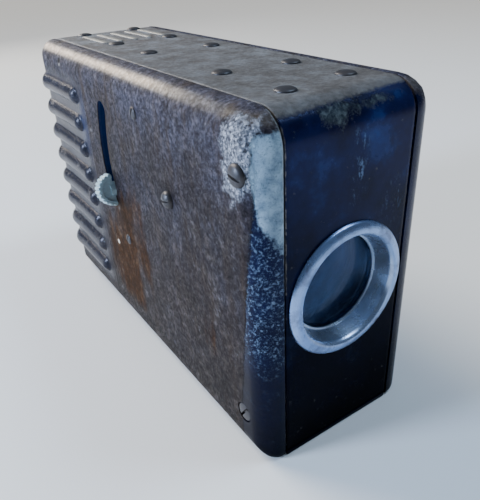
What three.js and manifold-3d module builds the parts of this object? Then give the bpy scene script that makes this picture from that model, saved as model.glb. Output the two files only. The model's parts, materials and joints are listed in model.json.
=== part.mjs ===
// Lever-operated box camera, in millimetres, +Z up, lens towards -Y.
// The origin is on the base, half way along the wrap cover and half way across it.
import * as THREE from 'three';
import { mergeVertices } from 'three/addons/utils/BufferGeometryUtils.js';
import Module from 'manifold-3d';

const wasm = await Module();
wasm.setup();

// Housing
const bodyWidth = 60.6;
const bodyDepth = 163.4;
const bodyHeight = 110;
const coverWall = 1.2;
const wrapWall = 1.0;
const baseWall = 2.0;
const edgeFillet = 7.25;
const frontTopRadius = 9.2;
const rearTopRadius = 4.5;
const bottomRadius = 1.6;
const flangeLand = 0.55;
const seamGap = 0.7;
const wrapBottomGap = 0.6;

// Fits
const seatGap = 0.35;
const screwGap = 0.4;
const runGap = 0.4;
const headLift = 0.3;

// Chassis
const plateWall = 1.5;
const plateInset = 1.4;
const flangeWall = 1.2;
const flangeBorder = 3.3;
const flangeOverlap = 0.6;
const postRadius = 3;
const pillarRadius = 3;

// Grip ribs
const ribCount = 8;
const ribFirstHeight = 16.5;
const ribHalfWidth = 3.4;
const ribRise = 2.2;
const ribFromRear = 43.4;

// Lens: the steps between its radii, from the bezel inwards
const lensBelowMiddle = 0.5;
const bezelMargin = 0.6;
const bezelProud = 2.0;
const bezelNeckStep = 2.3;
const mouthStep = 4.2;
const sightStep = 5.6;
const boreStep = 4.4;
const lensStep = 4.8;
const glassDepth = 5;
const barrelWall = 1.8;
const collarWall = 1.4;
const collarDepth = 1.5;
const stopRing = 3;
const stopWall = 1;
const frontLensWall = 3.5;
const rearLensWall = 3;
const spacerLength = 6.6;
const spacerWall = 1.2;
const retainerLength = 2.2;
const retainerWall = 2;
const frontLensBulge = 0.7;
const rearLensBulge = 1.1;
const lensGap = 0.4;
const frontLensRoom = 1;
const rearLensRoom = 1.5;
const apertureRoom = 4.9;
const apertureRadius = 8;
const apertureWall = 1.1;
const lensFacets = 28;

// Lever and its slot
const leverFromRibs = 22.6;
const pivotPinRadius = 2.5;
const leverRestAngle = -14.3;
const leverTravel = 35;
const slotWidth = 7.0;
const slotCollarWall = 2.0;
const slotCollarGap = 0.7;
const slotEndPlay = 0.2;
const neckPlay = 0.7;
const leverWall = 1.5;
const leverHubRadius = 6.5;
const leverTipRadius = 4.5;
const thumbRadius = 6.2;
const thumbThickness = 5;
const thumbTeeth = 11;
const thumbToothDepth = 0.45;
const thumbLift = 0.45;

// Gears
const gearModule = 0.8;
const sectorTeeth = 63;
const pinionTeeth = 21;
const gearWall = 1.8;
const gearBoss = 1.4;
const meshSlack = 0.35;
const meshTilt = 19.5135;
const toothAddendum = 0.875 * gearModule;
const toothDedendum = 1.125 * gearModule;
const toothTipHalf = 0.3125 * gearModule;
const toothRootHalf = 0.875 * gearModule;
const sectorSpare = 9;

// Shutter
const shutterBehindBarrel = 4.66;
const shutterBelowLens = 11.5;
const shutterShaftRadius = 1.8;
const shutterCollarRadius = 3.4;
const flapReach = 12.5;
const flapMargin = 9;
const flapWall = 1;
const flapFoot = 2.5;
const flapRoom = 2.34;

// Film path
const tunnelMargin = 3;
const tunnelTaper = 3;
const tunnelWall = 1;
const tunnelGateGap = 0.6;
const gateRoom = 10;
const gateWall = 1.5;
const gateBorder = 5;
const gateWindowMargin = 11;
const pressureWall = 1.2;
const pressureTravel = 1.7;
const pressureReach = 16.5;
const pressureMargin = 4.5;
const bracketRoom = 3.6;
const bracketWall = 1;
const bracketReach = 5.5;
const bracketEnd = 10;
const springLeaf = 0.4;
const springBow = 2.5;
const springHalf = 12;
const springWidth = 8;
const springGap = 0.3;
const spoolRearRoom = 4.4;
const spoolEdgeRoom = 8;
const spoolsApart = 14;
const spoolFlangeWall = 1;
const spoolCoreRadius = 6;
const spindleRadius = 2.8;
const filmMargin = 8.6;
const rollerRadius = 3.5;
const rollerPinRadius = 1.5;
const rollerRoom = 1;
const filmRoom = 0.5;
const ratchetTeeth = 12;
const ratchetRadius = 9;
const ratchetDrop = 1.6;
const pawlFromShaft = { depth: -10.5, height: 13 };
const pawlHubRadius = 2.8;
const pawlPinRadius = 1.2;
const pawlBite = 1.0;

// Rivets in the top: distances from the side seam, from the front and from the rear
const topRivetLeft = { side: -1, fromSeam: 11.5, fromFront: [14.6, 44], fromRear: [71.6, 42.6, 6.9] };
const topRivetRight = { side: 1, fromSeam: 8.9, fromFront: [17.7, 41.3], fromRear: [75.8, 42.6, 6.9] };
const topHeadRadius = 3;
const topHeadRise = 1.05;
const topShankLength = 3.2;
const shankRadius = 1.2;
const driverSlot = 0.8;

// Raised bars near the rear of the top
const barCount = 5;
const barPitch = 6.4;
const barWidth = 2.4;
const barFrontGap = 1.2;
const barRearGap = 2.5;
const barRise = 0.8;

// Latch of the loading cover
const latchDepth = 60;
const latchRadius = 8;
const latchRise = 1.6;
const latchStemRadius = 2.5;
const latchStemLength = 4;
const latchSlot = 1.6;
const tongueWall = 1.2;
const tongueDrop = 4;
const tongueReach = 14;

const frontY = -bodyDepth / 2;
const rearY = bodyDepth / 2;
const sideX = bodyWidth / 2;
const flangeEdgeX = sideX - edgeFillet - flangeLand;
const wrapHalf = flangeEdgeX - seamGap;
const wrapWidth = 2 * wrapHalf;
const coverInsideX = sideX - coverWall;
const chassisFloor = baseWall + seatGap;
const chassisTop = bodyHeight - Math.max(wrapWall, coverWall) - seatGap;
const plateHalfSpan = wrapHalf - headLift;
const plateOutsideX = -plateHalfSpan;
const plateInsideX = plateOutsideX + plateWall;
const plateRoom = plateHalfSpan - plateWall;
const gearX = plateOutsideX - runGap - gearBoss - gearWall;
const armX = gearX - headLift - leverWall;

const ribPitch = (bodyHeight - 2 * ribFirstHeight) / (ribCount - 1);
const ribFront = bodyDepth - ribFromRear;

const lensHeight = bodyHeight / 2 - lensBelowMiddle;
const bezelRadius = wrapHalf - bezelMargin;
const bezelNeckRadius = bezelRadius - bezelNeckStep;
const mouthRadius = bezelRadius - mouthStep;
const glassSightRadius = bezelRadius - sightStep;
const barrelBore = bezelRadius - boreStep;
const lensRadius = bezelRadius - lensStep;
const barrelFlangeRadius = flangeEdgeX - headLift;

// Each optic stands behind the one before it, the barrel's stop behind the last.
const after = (previous, gap, length) => [previous[1] + gap, previous[1] + gap + length];
const frontLensAt = after([0, glassDepth], frontLensRoom, frontLensWall);
const spacerAt = after(frontLensAt, lensGap, spacerLength);
const rearLensAt = after(spacerAt, rearLensRoom, rearLensWall);
const retainerAt = after(rearLensAt, lensGap, retainerLength);
const apertureAt = after(retainerAt, apertureRoom, apertureWall);
const barrelDepth = apertureAt[1] + lensGap + stopWall;

const sectorRadius = gearModule * sectorTeeth / 2;
const pinionRadius = gearModule * pinionTeeth / 2;
const shaftDistance = sectorRadius + pinionRadius + meshSlack;
const shutterDrop = shaftDistance * Math.cos(THREE.MathUtils.degToRad(meshTilt));
const shutterOffset = shaftDistance * Math.sin(THREE.MathUtils.degToRad(meshTilt));
const shutterDepth = barrelDepth + shutterBehindBarrel;
const shutterHeight = lensHeight - shutterBelowLens;
const pivotDepth = shutterDepth + shutterOffset;
const pivotHeight = shutterHeight + shutterDrop;
const leverReach = ribFront - leverFromRibs - pivotDepth;
const neckRadius = slotWidth / 2 - neckPlay;

// Two spools, one above the other, fill the height.
const spoolRadius = (bodyHeight - 2 * spoolEdgeRoom - spoolsApart) / 4;
const supplyHeight = spoolEdgeRoom + spoolRadius;
const takeupHeight = bodyHeight - spoolEdgeRoom - spoolRadius;
const spoolDepth = bodyDepth - wrapWall - spoolRearRoom - spoolRadius;
const gateDepth = spoolDepth - spoolRadius - gateRoom;
const tunnelFront = shutterDepth + shutterBelowLens + flapReach + flapRoom;
const tunnelHalf = plateRoom - tunnelMargin;
const gateReach = tunnelHalf + gateBorder;
const filmWidth = wrapWidth - filmMargin;
const gateWindow = filmWidth - gateWindowMargin;
const spindleEnd = filmWidth / 2 + 2.5;
const rollerDepth = gateDepth + gateWall + filmRoom + rollerRadius;
const rollerSpread = gateReach + rollerRadius + rollerRoom;
const latchHeight = bodyHeight / 2;
const pawlPivot = { depth: spoolDepth + pawlFromShaft.depth, height: takeupHeight + pawlFromShaft.height };

const sideScrews = [
  { name: 'front_upper_screw', depth: 7.7, height: bodyHeight - 15.2, headRadius: 3.3, rise: 1.6 },
  { name: 'front_lower_screw', depth: 10.7, height: 15.4, headRadius: 3.2, rise: 0.5 },
  { name: 'middle_upper_screw', depth: 65.1, height: bodyHeight - 12, headRadius: 2.1, rise: 1.0 },
  { name: 'middle_lower_screw', depth: 87.8, height: 44, headRadius: 2.1, rise: 1.0 },
];

const rad = THREE.MathUtils.degToRad;
const fromFront = (depth) => frontY + depth;

// Solids: every geometry becomes a closed solid with its faces pointing out.
function signedVolume(position, index) {
  let sum = 0;
  const a = new THREE.Vector3();
  const b = new THREE.Vector3();
  const c = new THREE.Vector3();
  for (let i = 0; i < index.length; i += 3) {
    a.fromBufferAttribute(position, index[i]);
    b.fromBufferAttribute(position, index[i + 1]);
    c.fromBufferAttribute(position, index[i + 2]);
    sum += a.dot(b.cross(c));
  }
  return sum;
}

function solid(geometry) {
  const bare = geometry.clone();
  bare.deleteAttribute('normal');
  bare.deleteAttribute('uv');
  const merged = mergeVertices(bare, 1e-4);
  const kept = [];
  const source = merged.index.array;
  for (let i = 0; i < source.length; i += 3) {
    const [a, b, c] = [source[i], source[i + 1], source[i + 2]];
    if (a !== b && b !== c && c !== a) kept.push([a, b, c]);
  }
  const inward = signedVolume(merged.attributes.position, kept.flat()) < 0;
  const triVerts = Uint32Array.from(kept.flatMap(([a, b, c]) => (inward ? [a, c, b] : [a, b, c])));
  const vertProperties = Float32Array.from(merged.attributes.position.array);
  return new wasm.Manifold(new wasm.Mesh({ numProp: 3, vertProperties, triVerts }));
}

function joined(first, ...others) {
  return others.reduce((whole, piece) => whole.add(piece), first);
}

function cut(first, ...others) {
  return others.reduce((whole, piece) => whole.subtract(piece), first);
}

function geometryOf(shape) {
  const mesh = shape.getMesh();
  const geometry = new THREE.BufferGeometry();
  geometry.setAttribute('position', new THREE.BufferAttribute(mesh.vertProperties, 3));
  geometry.setIndex(new THREE.BufferAttribute(mesh.triVerts, 1));
  geometry.computeVertexNormals();
  return geometry;
}

// Placing: X runs across, Y runs front to rear, Z runs up.
const yzToShape = new THREE.Matrix4().makeBasis(
  new THREE.Vector3(0, 1, 0),
  new THREE.Vector3(0, 0, 1),
  new THREE.Vector3(1, 0, 0),
);

function slabX(shape, x0, x1, curveSegments = 6) {
  const geometry = new THREE.ExtrudeGeometry(shape, { depth: x1 - x0, bevelEnabled: false, curveSegments });
  geometry.applyMatrix4(yzToShape);
  geometry.translate(x0, 0, 0);
  return solid(geometry);
}

function box(x0, x1, y0, y1, z0, z1) {
  const geometry = new THREE.BoxGeometry(x1 - x0, y1 - y0, z1 - z0);
  geometry.translate((x0 + x1) / 2, (y0 + y1) / 2, (z0 + z1) / 2);
  return solid(geometry);
}

// A turned piece. The profile gives radius and distance along the axis.
function turned(profile, segments, axis, place) {
  const geometry = new THREE.LatheGeometry(profile.map(([r, t]) => new THREE.Vector2(r, t)), segments);
  if (axis === 'x') geometry.rotateZ(-Math.PI / 2);
  if (axis === 'z') geometry.rotateX(Math.PI / 2);
  geometry.translate(...place);
  return solid(geometry);
}

function rod(radius, t0, t1, segments, axis, place) {
  return turned([[0, t0], [radius, t0], [radius, t1], [0, t1]], segments, axis, place);
}

function tube(outer, inner, t0, t1, segments, axis, place) {
  const profile = [[inner, t0], [outer, t0], [outer, t1], [inner, t1], [inner, t0]];
  return turned(profile, segments, axis, place);
}

const acrossAt = (depth, height) => [0, fromFront(depth), height];
const pivotPlace = acrossAt(pivotDepth, pivotHeight);
const shutterPlace = acrossAt(shutterDepth, shutterHeight);
const supplyPlace = acrossAt(spoolDepth, supplyHeight);
const takeupPlace = acrossAt(spoolDepth, takeupHeight);
const pawlPlace = acrossAt(pawlPivot.depth, pawlPivot.height);
const latchPlace = acrossAt(latchDepth, latchHeight);
const lensPlace = [0, frontY, lensHeight];

// The housing's outline in the YZ plane, drawn a distance inside its outer face.
function outlinePoints(inset, floor = inset, steps = 5) {
  const corners = [
    { y: frontY + inset, z: floor, r: bottomRadius, start: 180, sy: 1, sz: 1 },
    { y: rearY - inset, z: floor, r: bottomRadius, start: 270, sy: -1, sz: 1 },
    { y: rearY - inset, z: bodyHeight - inset, r: rearTopRadius, start: 0, sy: -1, sz: -1 },
    { y: frontY + inset, z: bodyHeight - inset, r: frontTopRadius, start: 90, sy: 1, sz: -1 },
  ];
  return corners.flatMap(({ y, z, r, start, sy, sz }) => {
    const radius = Math.max(r - inset, 0.5);
    return Array.from({ length: steps + 1 }, (_, i) => {
      const angle = rad(start + 90 * i / steps);
      return new THREE.Vector2(
        y + sy * radius + radius * Math.cos(angle),
        z + sz * radius + radius * Math.sin(angle),
      );
    });
  });
}

// A closed surface through a list of rings with equally many points, with a point at each end.
function loft(rings) {
  const count = rings[0].length;
  const middle = (ring) => ring.reduce((sum, p) => sum.add(p), new THREE.Vector3()).divideScalar(count);
  const points = [middle(rings[0]), ...rings.flat(), middle(rings[rings.length - 1])];
  const last = points.length - 1;
  const index = [];
  for (let i = 0; i < count; i += 1) {
    const next = (i + 1) % count;
    index.push(0, 1 + next, 1 + i);
    for (let k = 0; k + 1 < rings.length; k += 1) {
      const a = 1 + k * count;
      const b = a + count;
      index.push(a + i, a + next, b + i, a + next, b + next, b + i);
    }
    index.push(last, last - count + i, last - count + next);
  }
  const geometry = new THREE.BufferGeometry().setFromPoints(points);
  geometry.setIndex(index);
  return solid(geometry);
}

// Covers: side is -1 for the left one and 1 for the right one.
function coverShell(side) {
  const steps = 5;
  const ring = (inset, x) => outlinePoints(inset).map((p) => new THREE.Vector3(side * x, p.x, p.y));
  const filletRings = (radius) => Array.from({ length: steps + 1 }, (_, i) => {
    const angle = rad(90 * i / steps);
    return ring(edgeFillet - radius * Math.cos(angle), sideX - edgeFillet + radius * Math.sin(angle));
  });
  const outer = filletRings(edgeFillet).reverse();
  const inner = filletRings(edgeFillet - coverWall);
  return loft([...outer, ring(0, flangeEdgeX), ring(coverWall, flangeEdgeX), ...inner]);
}

// One grip rib: it runs along the cover's side and round its rear edge.
function gripRib(side, height) {
  const flatEnd = rearY - edgeFillet;
  const start = fromFront(ribFront);
  const stations = [
    { y: start, angle: 90, scale: 0.35 },
    { y: start + 1.5, angle: 90, scale: 0.8 },
    { y: start + 4, angle: 90, scale: 1 },
    { y: flatEnd, angle: 90, scale: 1 },
    { y: flatEnd, angle: 65, scale: 1 },
    { y: flatEnd, angle: 40, scale: 0.95 },
    { y: flatEnd, angle: 18, scale: 0.6 },
  ];
  const rings = stations.map(({ y, angle, scale }) => {
    const out = new THREE.Vector3(side * Math.sin(rad(angle)), Math.cos(rad(angle)), 0);
    const base = new THREE.Vector3(side * (sideX - edgeFillet), y, height).addScaledVector(out, edgeFillet);
    return [-0.3, 0, 1 / 3, 2 / 3, 1, 1.3].map((turn) => {
      const across = Math.cos(Math.PI * THREE.MathUtils.clamp(turn, 0, 1));
      const rise = turn < 0 || turn > 1 ? -0.7 : ribRise * scale * Math.sin(Math.PI * turn);
      return base.clone().addScaledVector(out, rise).setZ(height + ribHalfWidth * scale * across);
    });
  });
  return loft(rings);
}

function cover(side) {
  const ribs = Array.from({ length: ribCount }, (_, i) => gripRib(side, ribFirstHeight + ribPitch * i));
  return joined(coverShell(side), ...ribs);
}

// An arc-shaped slab about the lever's pivot with round ends.
function arcSlab(half, x0, x1) {
  const low = rad(leverRestAngle) - slotEndPlay / leverReach;
  const high = rad(leverRestAngle + leverTravel) + slotEndPlay / leverReach;
  const centre = [fromFront(pivotDepth), pivotHeight];
  const endCentre = (angle) => [
    centre[0] + leverReach * Math.cos(angle),
    centre[1] + leverReach * Math.sin(angle),
  ];
  const shape = new THREE.Shape();
  shape.absarc(...centre, leverReach + half, low, high, false);
  shape.absarc(...endCentre(high), half, high, high + Math.PI, false);
  shape.absarc(...centre, leverReach - half, high, low, true);
  shape.absarc(...endCentre(low), half, low + Math.PI, low + 2 * Math.PI, false);
  return slabX(shape, x0, x1, 8);
}

function leftCover() {
  const holes = sideScrews.map(({ depth, height }) => (
    rod(shankRadius + screwGap, -sideX - 3, -flangeEdgeX, 12, 'x', acrossAt(depth, height))));
  const pivotHole = rod(shankRadius + screwGap, -sideX - 3, -flangeEdgeX, 12, 'x', pivotPlace);
  const collarEnd = armX - slotCollarGap;
  const collar = arcSlab(slotWidth / 2 + slotCollarWall, -coverInsideX - coverWall / 2, collarEnd);
  const slot = arcSlab(slotWidth / 2, -sideX - 1, collarEnd + 1);
  return cut(joined(cover(-1), collar), slot, pivotHole, ...holes);
}

function rightCover() {
  const hole = rod(latchStemRadius + runGap, coverInsideX - 1, sideX + 1, 16, 'x', latchPlace);
  return cut(cover(1), hole);
}

// Wrap cover: front, top and rear bent from one sheet.
function wrapCover() {
  const bottom = baseWall + wrapBottomGap;
  const outer = outlinePoints(0, bottom).slice(6 * 2);
  const inner = outlinePoints(wrapWall, bottom).slice(6 * 2);
  const profile = [
    new THREE.Vector2(rearY, bottom),
    ...outer,
    new THREE.Vector2(frontY, bottom),
    new THREE.Vector2(frontY + wrapWall, bottom),
    ...inner.reverse(),
    new THREE.Vector2(rearY - wrapWall, bottom),
  ];
  const sheet = slabX(new THREE.Shape(profile), -wrapHalf, wrapHalf);
  const [, before, behind] = topRivetLeft.fromRear;
  const y0 = rearY - before + topHeadRadius + barFrontGap;
  const y1 = rearY - behind - topHeadRadius - barRearGap;
  const bars = Array.from({ length: barCount }, (_, i) => {
    const x = (i - (barCount - 1) / 2) * barPitch;
    return box(x - barWidth / 2, x + barWidth / 2, y0, y1, bodyHeight - wrapWall / 2, bodyHeight + barRise);
  });
  const lensHole = rod(bezelNeckRadius + screwGap, -1, wrapWall + 1, lensFacets, 'y', lensPlace);
  const holes = topRivetPlaces.map(({ x, depth }) => (
    rod(shankRadius + screwGap, bodyHeight - 4, bodyHeight + 2, 10, 'z', [x, fromFront(depth), 0])));
  return cut(joined(sheet, ...bars), lensHole, ...holes);
}

const rivetRow = ({ side, fromSeam, fromFront: near, fromRear: far }) => (
  [...near, ...far.map((distance) => bodyDepth - distance)].map((depth) => (
    { x: side * (wrapHalf - fromSeam), depth })));
const topRivetPlaces = [...rivetRow(topRivetLeft), ...rivetRow(topRivetRight)];

function topRivet({ x, depth }) {
  const seat = bodyHeight + headLift;
  const profile = [
    [0, bodyHeight - topShankLength], [shankRadius, bodyHeight - topShankLength], [shankRadius, seat],
    [topHeadRadius, seat], [topHeadRadius * 0.7, seat + topHeadRise * 0.7], [0, seat + topHeadRise],
  ];
  return turned(profile, 10, 'z', [x, fromFront(depth), 0]);
}

function sideScrew({ depth, height, headRadius, rise }) {
  const seat = sideX + headLift;
  const shankEnd = -plateHalfSpan - postRadius;
  const profile = [
    [0, -seat - rise], [headRadius * 0.5, -seat - rise * 0.92], [headRadius * 0.9, -seat - rise * 0.55],
    [headRadius, -seat], [shankRadius, -seat], [shankRadius, shankEnd], [0, shankEnd],
  ];
  const head = turned(profile, 14, 'x', acrossAt(depth, height));
  const y = fromFront(depth);
  const slotFloor = -seat - rise * 0.45;
  const z0 = height - driverSlot / 2;
  const driver = box(-seat - rise - 1, slotFloor, y - headRadius, y + headRadius, z0, z0 + driverSlot);
  return cut(head, driver);
}

function basePlate() {
  return box(-wrapHalf, wrapHalf, frontY, rearY, 0, baseWall);
}

// Chassis plates stand inside the wrap cover; their flanges run under the seams.
function chassisPlate(side, lastDepth) {
  const shape = new THREE.Shape(outlinePoints(plateInset, chassisFloor));
  const outside = side * plateHalfSpan;
  const inside = side * (plateHalfSpan - plateWall);
  const plate = slabX(shape, Math.min(outside, inside), Math.max(outside, inside));
  const behind = box(-bodyWidth, bodyWidth, fromFront(lastDepth), rearY + 1, -1, bodyHeight + 1);
  const innerEdge = wrapHalf - topRivetLeft.fromSeam - flangeBorder;
  const reach = [side * (flangeEdgeX + flangeOverlap), side * innerEdge];
  const x0 = Math.min(...reach);
  const x1 = Math.max(...reach);
  const y0 = frontY + frontTopRadius + 1;
  const y1 = rearY - rearTopRadius;
  const top = box(x0, x1, y0, y1, chassisTop - flangeWall, chassisTop);
  const bottom = box(x0, x1, y0, y1, chassisFloor, chassisFloor + flangeWall);
  const lensRoom = rod(barrelFlangeRadius + seatGap, 0, glassDepth + 4, lensFacets, 'y', lensPlace);
  const trimmed = lastDepth < bodyDepth ? cut(plate, behind) : plate;
  return joined(cut(trimmed, lensRoom), top, bottom);
}

function rivetHoles(row) {
  return rivetRow(row).map(({ x, depth }) => (
    rod(shankRadius + screwGap, chassisTop - 3, chassisTop + 1, 10, 'z', [x, fromFront(depth), 0])));
}

function leftChassis() {
  const tip = -coverInsideX + 1.1;
  const posts = sideScrews.map(({ depth, height }) => (
    rod(postRadius, tip, plateInsideX, 12, 'x', acrossAt(depth, height))));
  const shankHoles = sideScrews.map(({ depth, height }) => (
    rod(shankRadius + screwGap, tip - 1, plateInsideX + 1, 10, 'x', acrossAt(depth, height))));
  const pivotPin = rod(pivotPinRadius, -coverInsideX + seatGap, plateInsideX, 16, 'x', pivotPlace);
  const pivotBore = rod(shankRadius + screwGap, -sideX, plateInsideX + 1, 10, 'x', pivotPlace);
  const pawlPin = rod(pawlPinRadius, armX, plateInsideX, 10, 'x', pawlPlace);
  const throughPlate = (radius, place) => (
    rod(radius + runGap, plateOutsideX - 1, plateInsideX + 1, 14, 'x', place));
  const shaftHole = throughPlate(shutterShaftRadius, shutterPlace);
  const takeupHole = throughPlate(spindleRadius, takeupPlace);
  const whole = joined(chassisPlate(-1, bodyDepth), ...posts, pivotPin, pawlPin);
  return cut(whole, ...shankHoles, pivotBore, shaftHole, takeupHole, ...rivetHoles(topRivetLeft));
}

function rightChassis() {
  const shaftHole = rod(shutterShaftRadius + runGap, plateRoom - 1, plateHalfSpan + 1, 14, 'x', shutterPlace);
  return cut(chassisPlate(1, gateDepth), shaftHole, ...rivetHoles(topRivetRight));
}

function crossPillar({ depth, height }) {
  const end = plateRoom - seatGap;
  return rod(pillarRadius, -end, end, 12, 'x', acrossAt(depth, height));
}

const pillarPlaces = [
  { depth: 22, height: bodyHeight - 14 },
  { depth: gateDepth - 12, height: bodyHeight - 13 },
  { depth: 26, height: 11 },
];

// Optics, turned about the lens axis. Distances run back from the front face.
function lensBezel() {
  const seat = -headLift;
  return turned([
    [glassSightRadius, glassDepth], [mouthRadius, -bezelProud + 0.5], [mouthRadius + 1, -bezelProud],
    [bezelRadius - 1.6, -bezelProud + 0.1], [bezelRadius - 0.3, seat - 0.9], [bezelRadius, seat],
    [bezelNeckRadius, seat], [bezelNeckRadius, glassDepth], [glassSightRadius, glassDepth],
  ], lensFacets, 'y', lensPlace);
}

function lensBarrel() {
  const outer = barrelBore + barrelWall;
  const collar = bezelNeckRadius + screwGap;
  const collarOuter = collar + collarWall;
  const front = wrapWall + seatGap;
  const step = glassDepth + seatGap;
  return turned([
    [collar, front], [barrelFlangeRadius, front], [barrelFlangeRadius, front + collarDepth],
    [collarOuter, front + collarDepth], [collarOuter, step + collarDepth], [outer, step + collarDepth],
    [outer, barrelDepth], [barrelBore - stopRing, barrelDepth],
    [barrelBore - stopRing, barrelDepth - stopWall], [barrelBore, barrelDepth - stopWall],
    [barrelBore, step], [collar, step], [collar, front],
  ], lensFacets, 'y', lensPlace);
}

// A lens: each face is a shallow curve given by its rise at the middle.
function lensElement(front, back, frontRise, backRise) {
  const steps = 3;
  const face = (at, rise) => Array.from({ length: steps + 1 }, (_, i) => {
    const r = lensRadius * i / steps;
    return [r, at + rise * (1 - (r / lensRadius) ** 2)];
  });
  return turned([...face(front, -frontRise), ...face(back, backRise).reverse()], lensFacets, 'y', lensPlace);
}

function opticRing(inner, place) {
  return tube(lensRadius, inner, ...place, lensFacets, 'y', lensPlace);
}

// Light tunnel: a square funnel from behind the shutter to the film gate.
function lightTunnel() {
  const length = gateDepth - tunnelFront - tunnelGateGap;
  const funnel = (inset, stretch) => {
    const rearHalf = (tunnelHalf - inset) * Math.SQRT2;
    const frontHalf = (tunnelHalf - tunnelTaper - inset) * Math.SQRT2;
    const geometry = new THREE.CylinderGeometry(rearHalf, frontHalf, length + stretch, 4);
    geometry.rotateY(Math.PI / 4);
    geometry.translate(0, tunnelFront + length / 2, 0);
    geometry.translate(...lensPlace);
    return solid(geometry);
  };
  return cut(funnel(0, 0), funnel(tunnelWall, 1));
}

// A plate across the film path, centred on the lens height.
function pathPlate(x0, x1, depth, wall, reach) {
  return box(x0, x1, fromFront(depth), fromFront(depth + wall), lensHeight - reach, lensHeight + reach);
}

function filmGate() {
  const half = plateRoom - seatGap;
  const window = gateWindow / 2;
  const plate = pathPlate(-half, half, gateDepth, gateWall, gateReach);
  return cut(plate, pathPlate(-window, window, gateDepth - 1, gateWall + 2, window));
}

const pressureDepth = gateDepth + gateWall + pressureTravel;

function pressurePlate() {
  const half = plateHalfSpan - pressureMargin;
  return pathPlate(-half, half, pressureDepth, pressureWall, pressureReach);
}

function pressureBracket() {
  const depth = pressureDepth + pressureWall + bracketRoom;
  return pathPlate(plateInsideX + seatGap, bracketEnd, depth, bracketWall, bracketReach);
}

// A bowed leaf: its ends touch the pressure plate and its middle the bracket.
function pressureSpring() {
  const near = fromFront(pressureDepth + pressureWall + springGap);
  const steps = 8;
  const arc = (shift) => Array.from({ length: steps + 1 }, (_, i) => {
    const t = 2 * i / steps - 1;
    return new THREE.Vector2(near + shift + springBow * (1 - t * t), lensHeight + springHalf * t);
  });
  const leaf = new THREE.Shape([...arc(0), ...arc(springLeaf).reverse()]);
  return slabX(leaf, -springWidth / 2, springWidth / 2);
}

// Film spools: a core tube between two thin discs.
const spoolPlaces = { supply: supplyPlace, takeup: takeupPlace };

function spoolCore(place) {
  const half = filmWidth / 2;
  return tube(spoolCoreRadius, spindleRadius + runGap, -half, half, 16, 'x', place);
}

function spoolFlange(place, side) {
  const near = filmWidth / 2 + seatGap;
  const far = near + spoolFlangeWall;
  const [x0, x1] = side < 0 ? [-far, -near] : [near, far];
  return tube(spoolRadius, spindleRadius + runGap, x0, x1, 18, 'x', place);
}

function supplySpindle() {
  return rod(spindleRadius, plateInsideX + seatGap, spindleEnd, 14, 'x', supplyPlace);
}

function takeupShaft() {
  return rod(spindleRadius, armX, spindleEnd, 14, 'x', takeupPlace);
}

// Every wheel in the gear layer is bored through its whole thickness.
function boredGear(shape, radius, segments, place) {
  const wheel = slabX(shape, gearX, gearX + gearWall);
  return cut(wheel, rod(radius, gearX - 1, gearX + gearWall + 1, segments, 'x', place));
}

// Ratchet wheel: each tooth rises slowly and drops along a radius.
function ratchetWheel() {
  const centre = [fromFront(spoolDepth), takeupHeight];
  const points = Array.from({ length: ratchetTeeth }, (_, i) => i).flatMap((i) => {
    const angle = 2 * Math.PI * i / ratchetTeeth;
    return [ratchetRadius - ratchetDrop, ratchetRadius].map((r) => (
      new THREE.Vector2(centre[0] + r * Math.cos(angle), centre[1] + r * Math.sin(angle))));
  });
  return boredGear(new THREE.Shape(points), spindleRadius + seatGap, 14, takeupPlace);
}

// The pawl hangs from its pin and its tip stands in a tooth gap, level with the wheel's centre.
function ratchetPawl() {
  const [, y, z] = pawlPlace;
  const tipY = fromFront(spoolDepth) - ratchetRadius + pawlBite;
  const tipZ = takeupHeight + 0.4;
  const noseWidth = 2.4;
  const shape = new THREE.Shape();
  shape.moveTo(tipY - noseWidth, tipZ);
  shape.lineTo(tipY, tipZ);
  shape.lineTo(tipY - 0.7, tipZ + 3.1);
  shape.lineTo(y + 2.6, z - 1);
  shape.absarc(y, z, pawlHubRadius, rad(-20), rad(200), false);
  const arm = slabX(shape, gearX + 0.1, gearX + gearWall - 0.1, 5);
  return cut(arm, rod(pawlPinRadius + runGap, gearX - 1, gearX + gearWall + 1, 10, 'x', pawlPlace));
}

function guideRoller(height) {
  const half = filmWidth / 2 + 0.8;
  return tube(rollerRadius, rollerPinRadius + runGap, -half, half, 14, 'x', acrossAt(rollerDepth, height));
}

function rollerPin(height) {
  const end = filmWidth / 2 + 2;
  return rod(rollerPinRadius, plateInsideX + seatGap, end, 10, 'x', acrossAt(rollerDepth, height));
}

const rollerHeights = { lower: lensHeight - rollerSpread, upper: lensHeight + rollerSpread };

// Lever: a hub, an arm out to the slot and the serrated thumb piece outside.
const leverPoint = (radius, degrees) => [
  fromFront(pivotDepth) + radius * Math.cos(rad(degrees)),
  pivotHeight + radius * Math.sin(rad(degrees)),
];

function leverArm() {
  const [tipY, tipZ] = leverPoint(leverReach, leverRestAngle);
  const bearing = (offset) => rad(leverRestAngle + offset);
  const shape = new THREE.Shape();
  shape.absarc(fromFront(pivotDepth), pivotHeight, leverHubRadius, bearing(80), bearing(280), false);
  shape.absarc(tipY, tipZ, leverTipRadius, bearing(-80), bearing(80), false);
  const arm = slabX(shape, armX, armX + leverWall, 8);
  const bore = rod(pivotPinRadius + runGap, armX - 1, armX + leverWall + 1, 16, 'x', pivotPlace);
  return cut(arm, bore);
}

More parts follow.
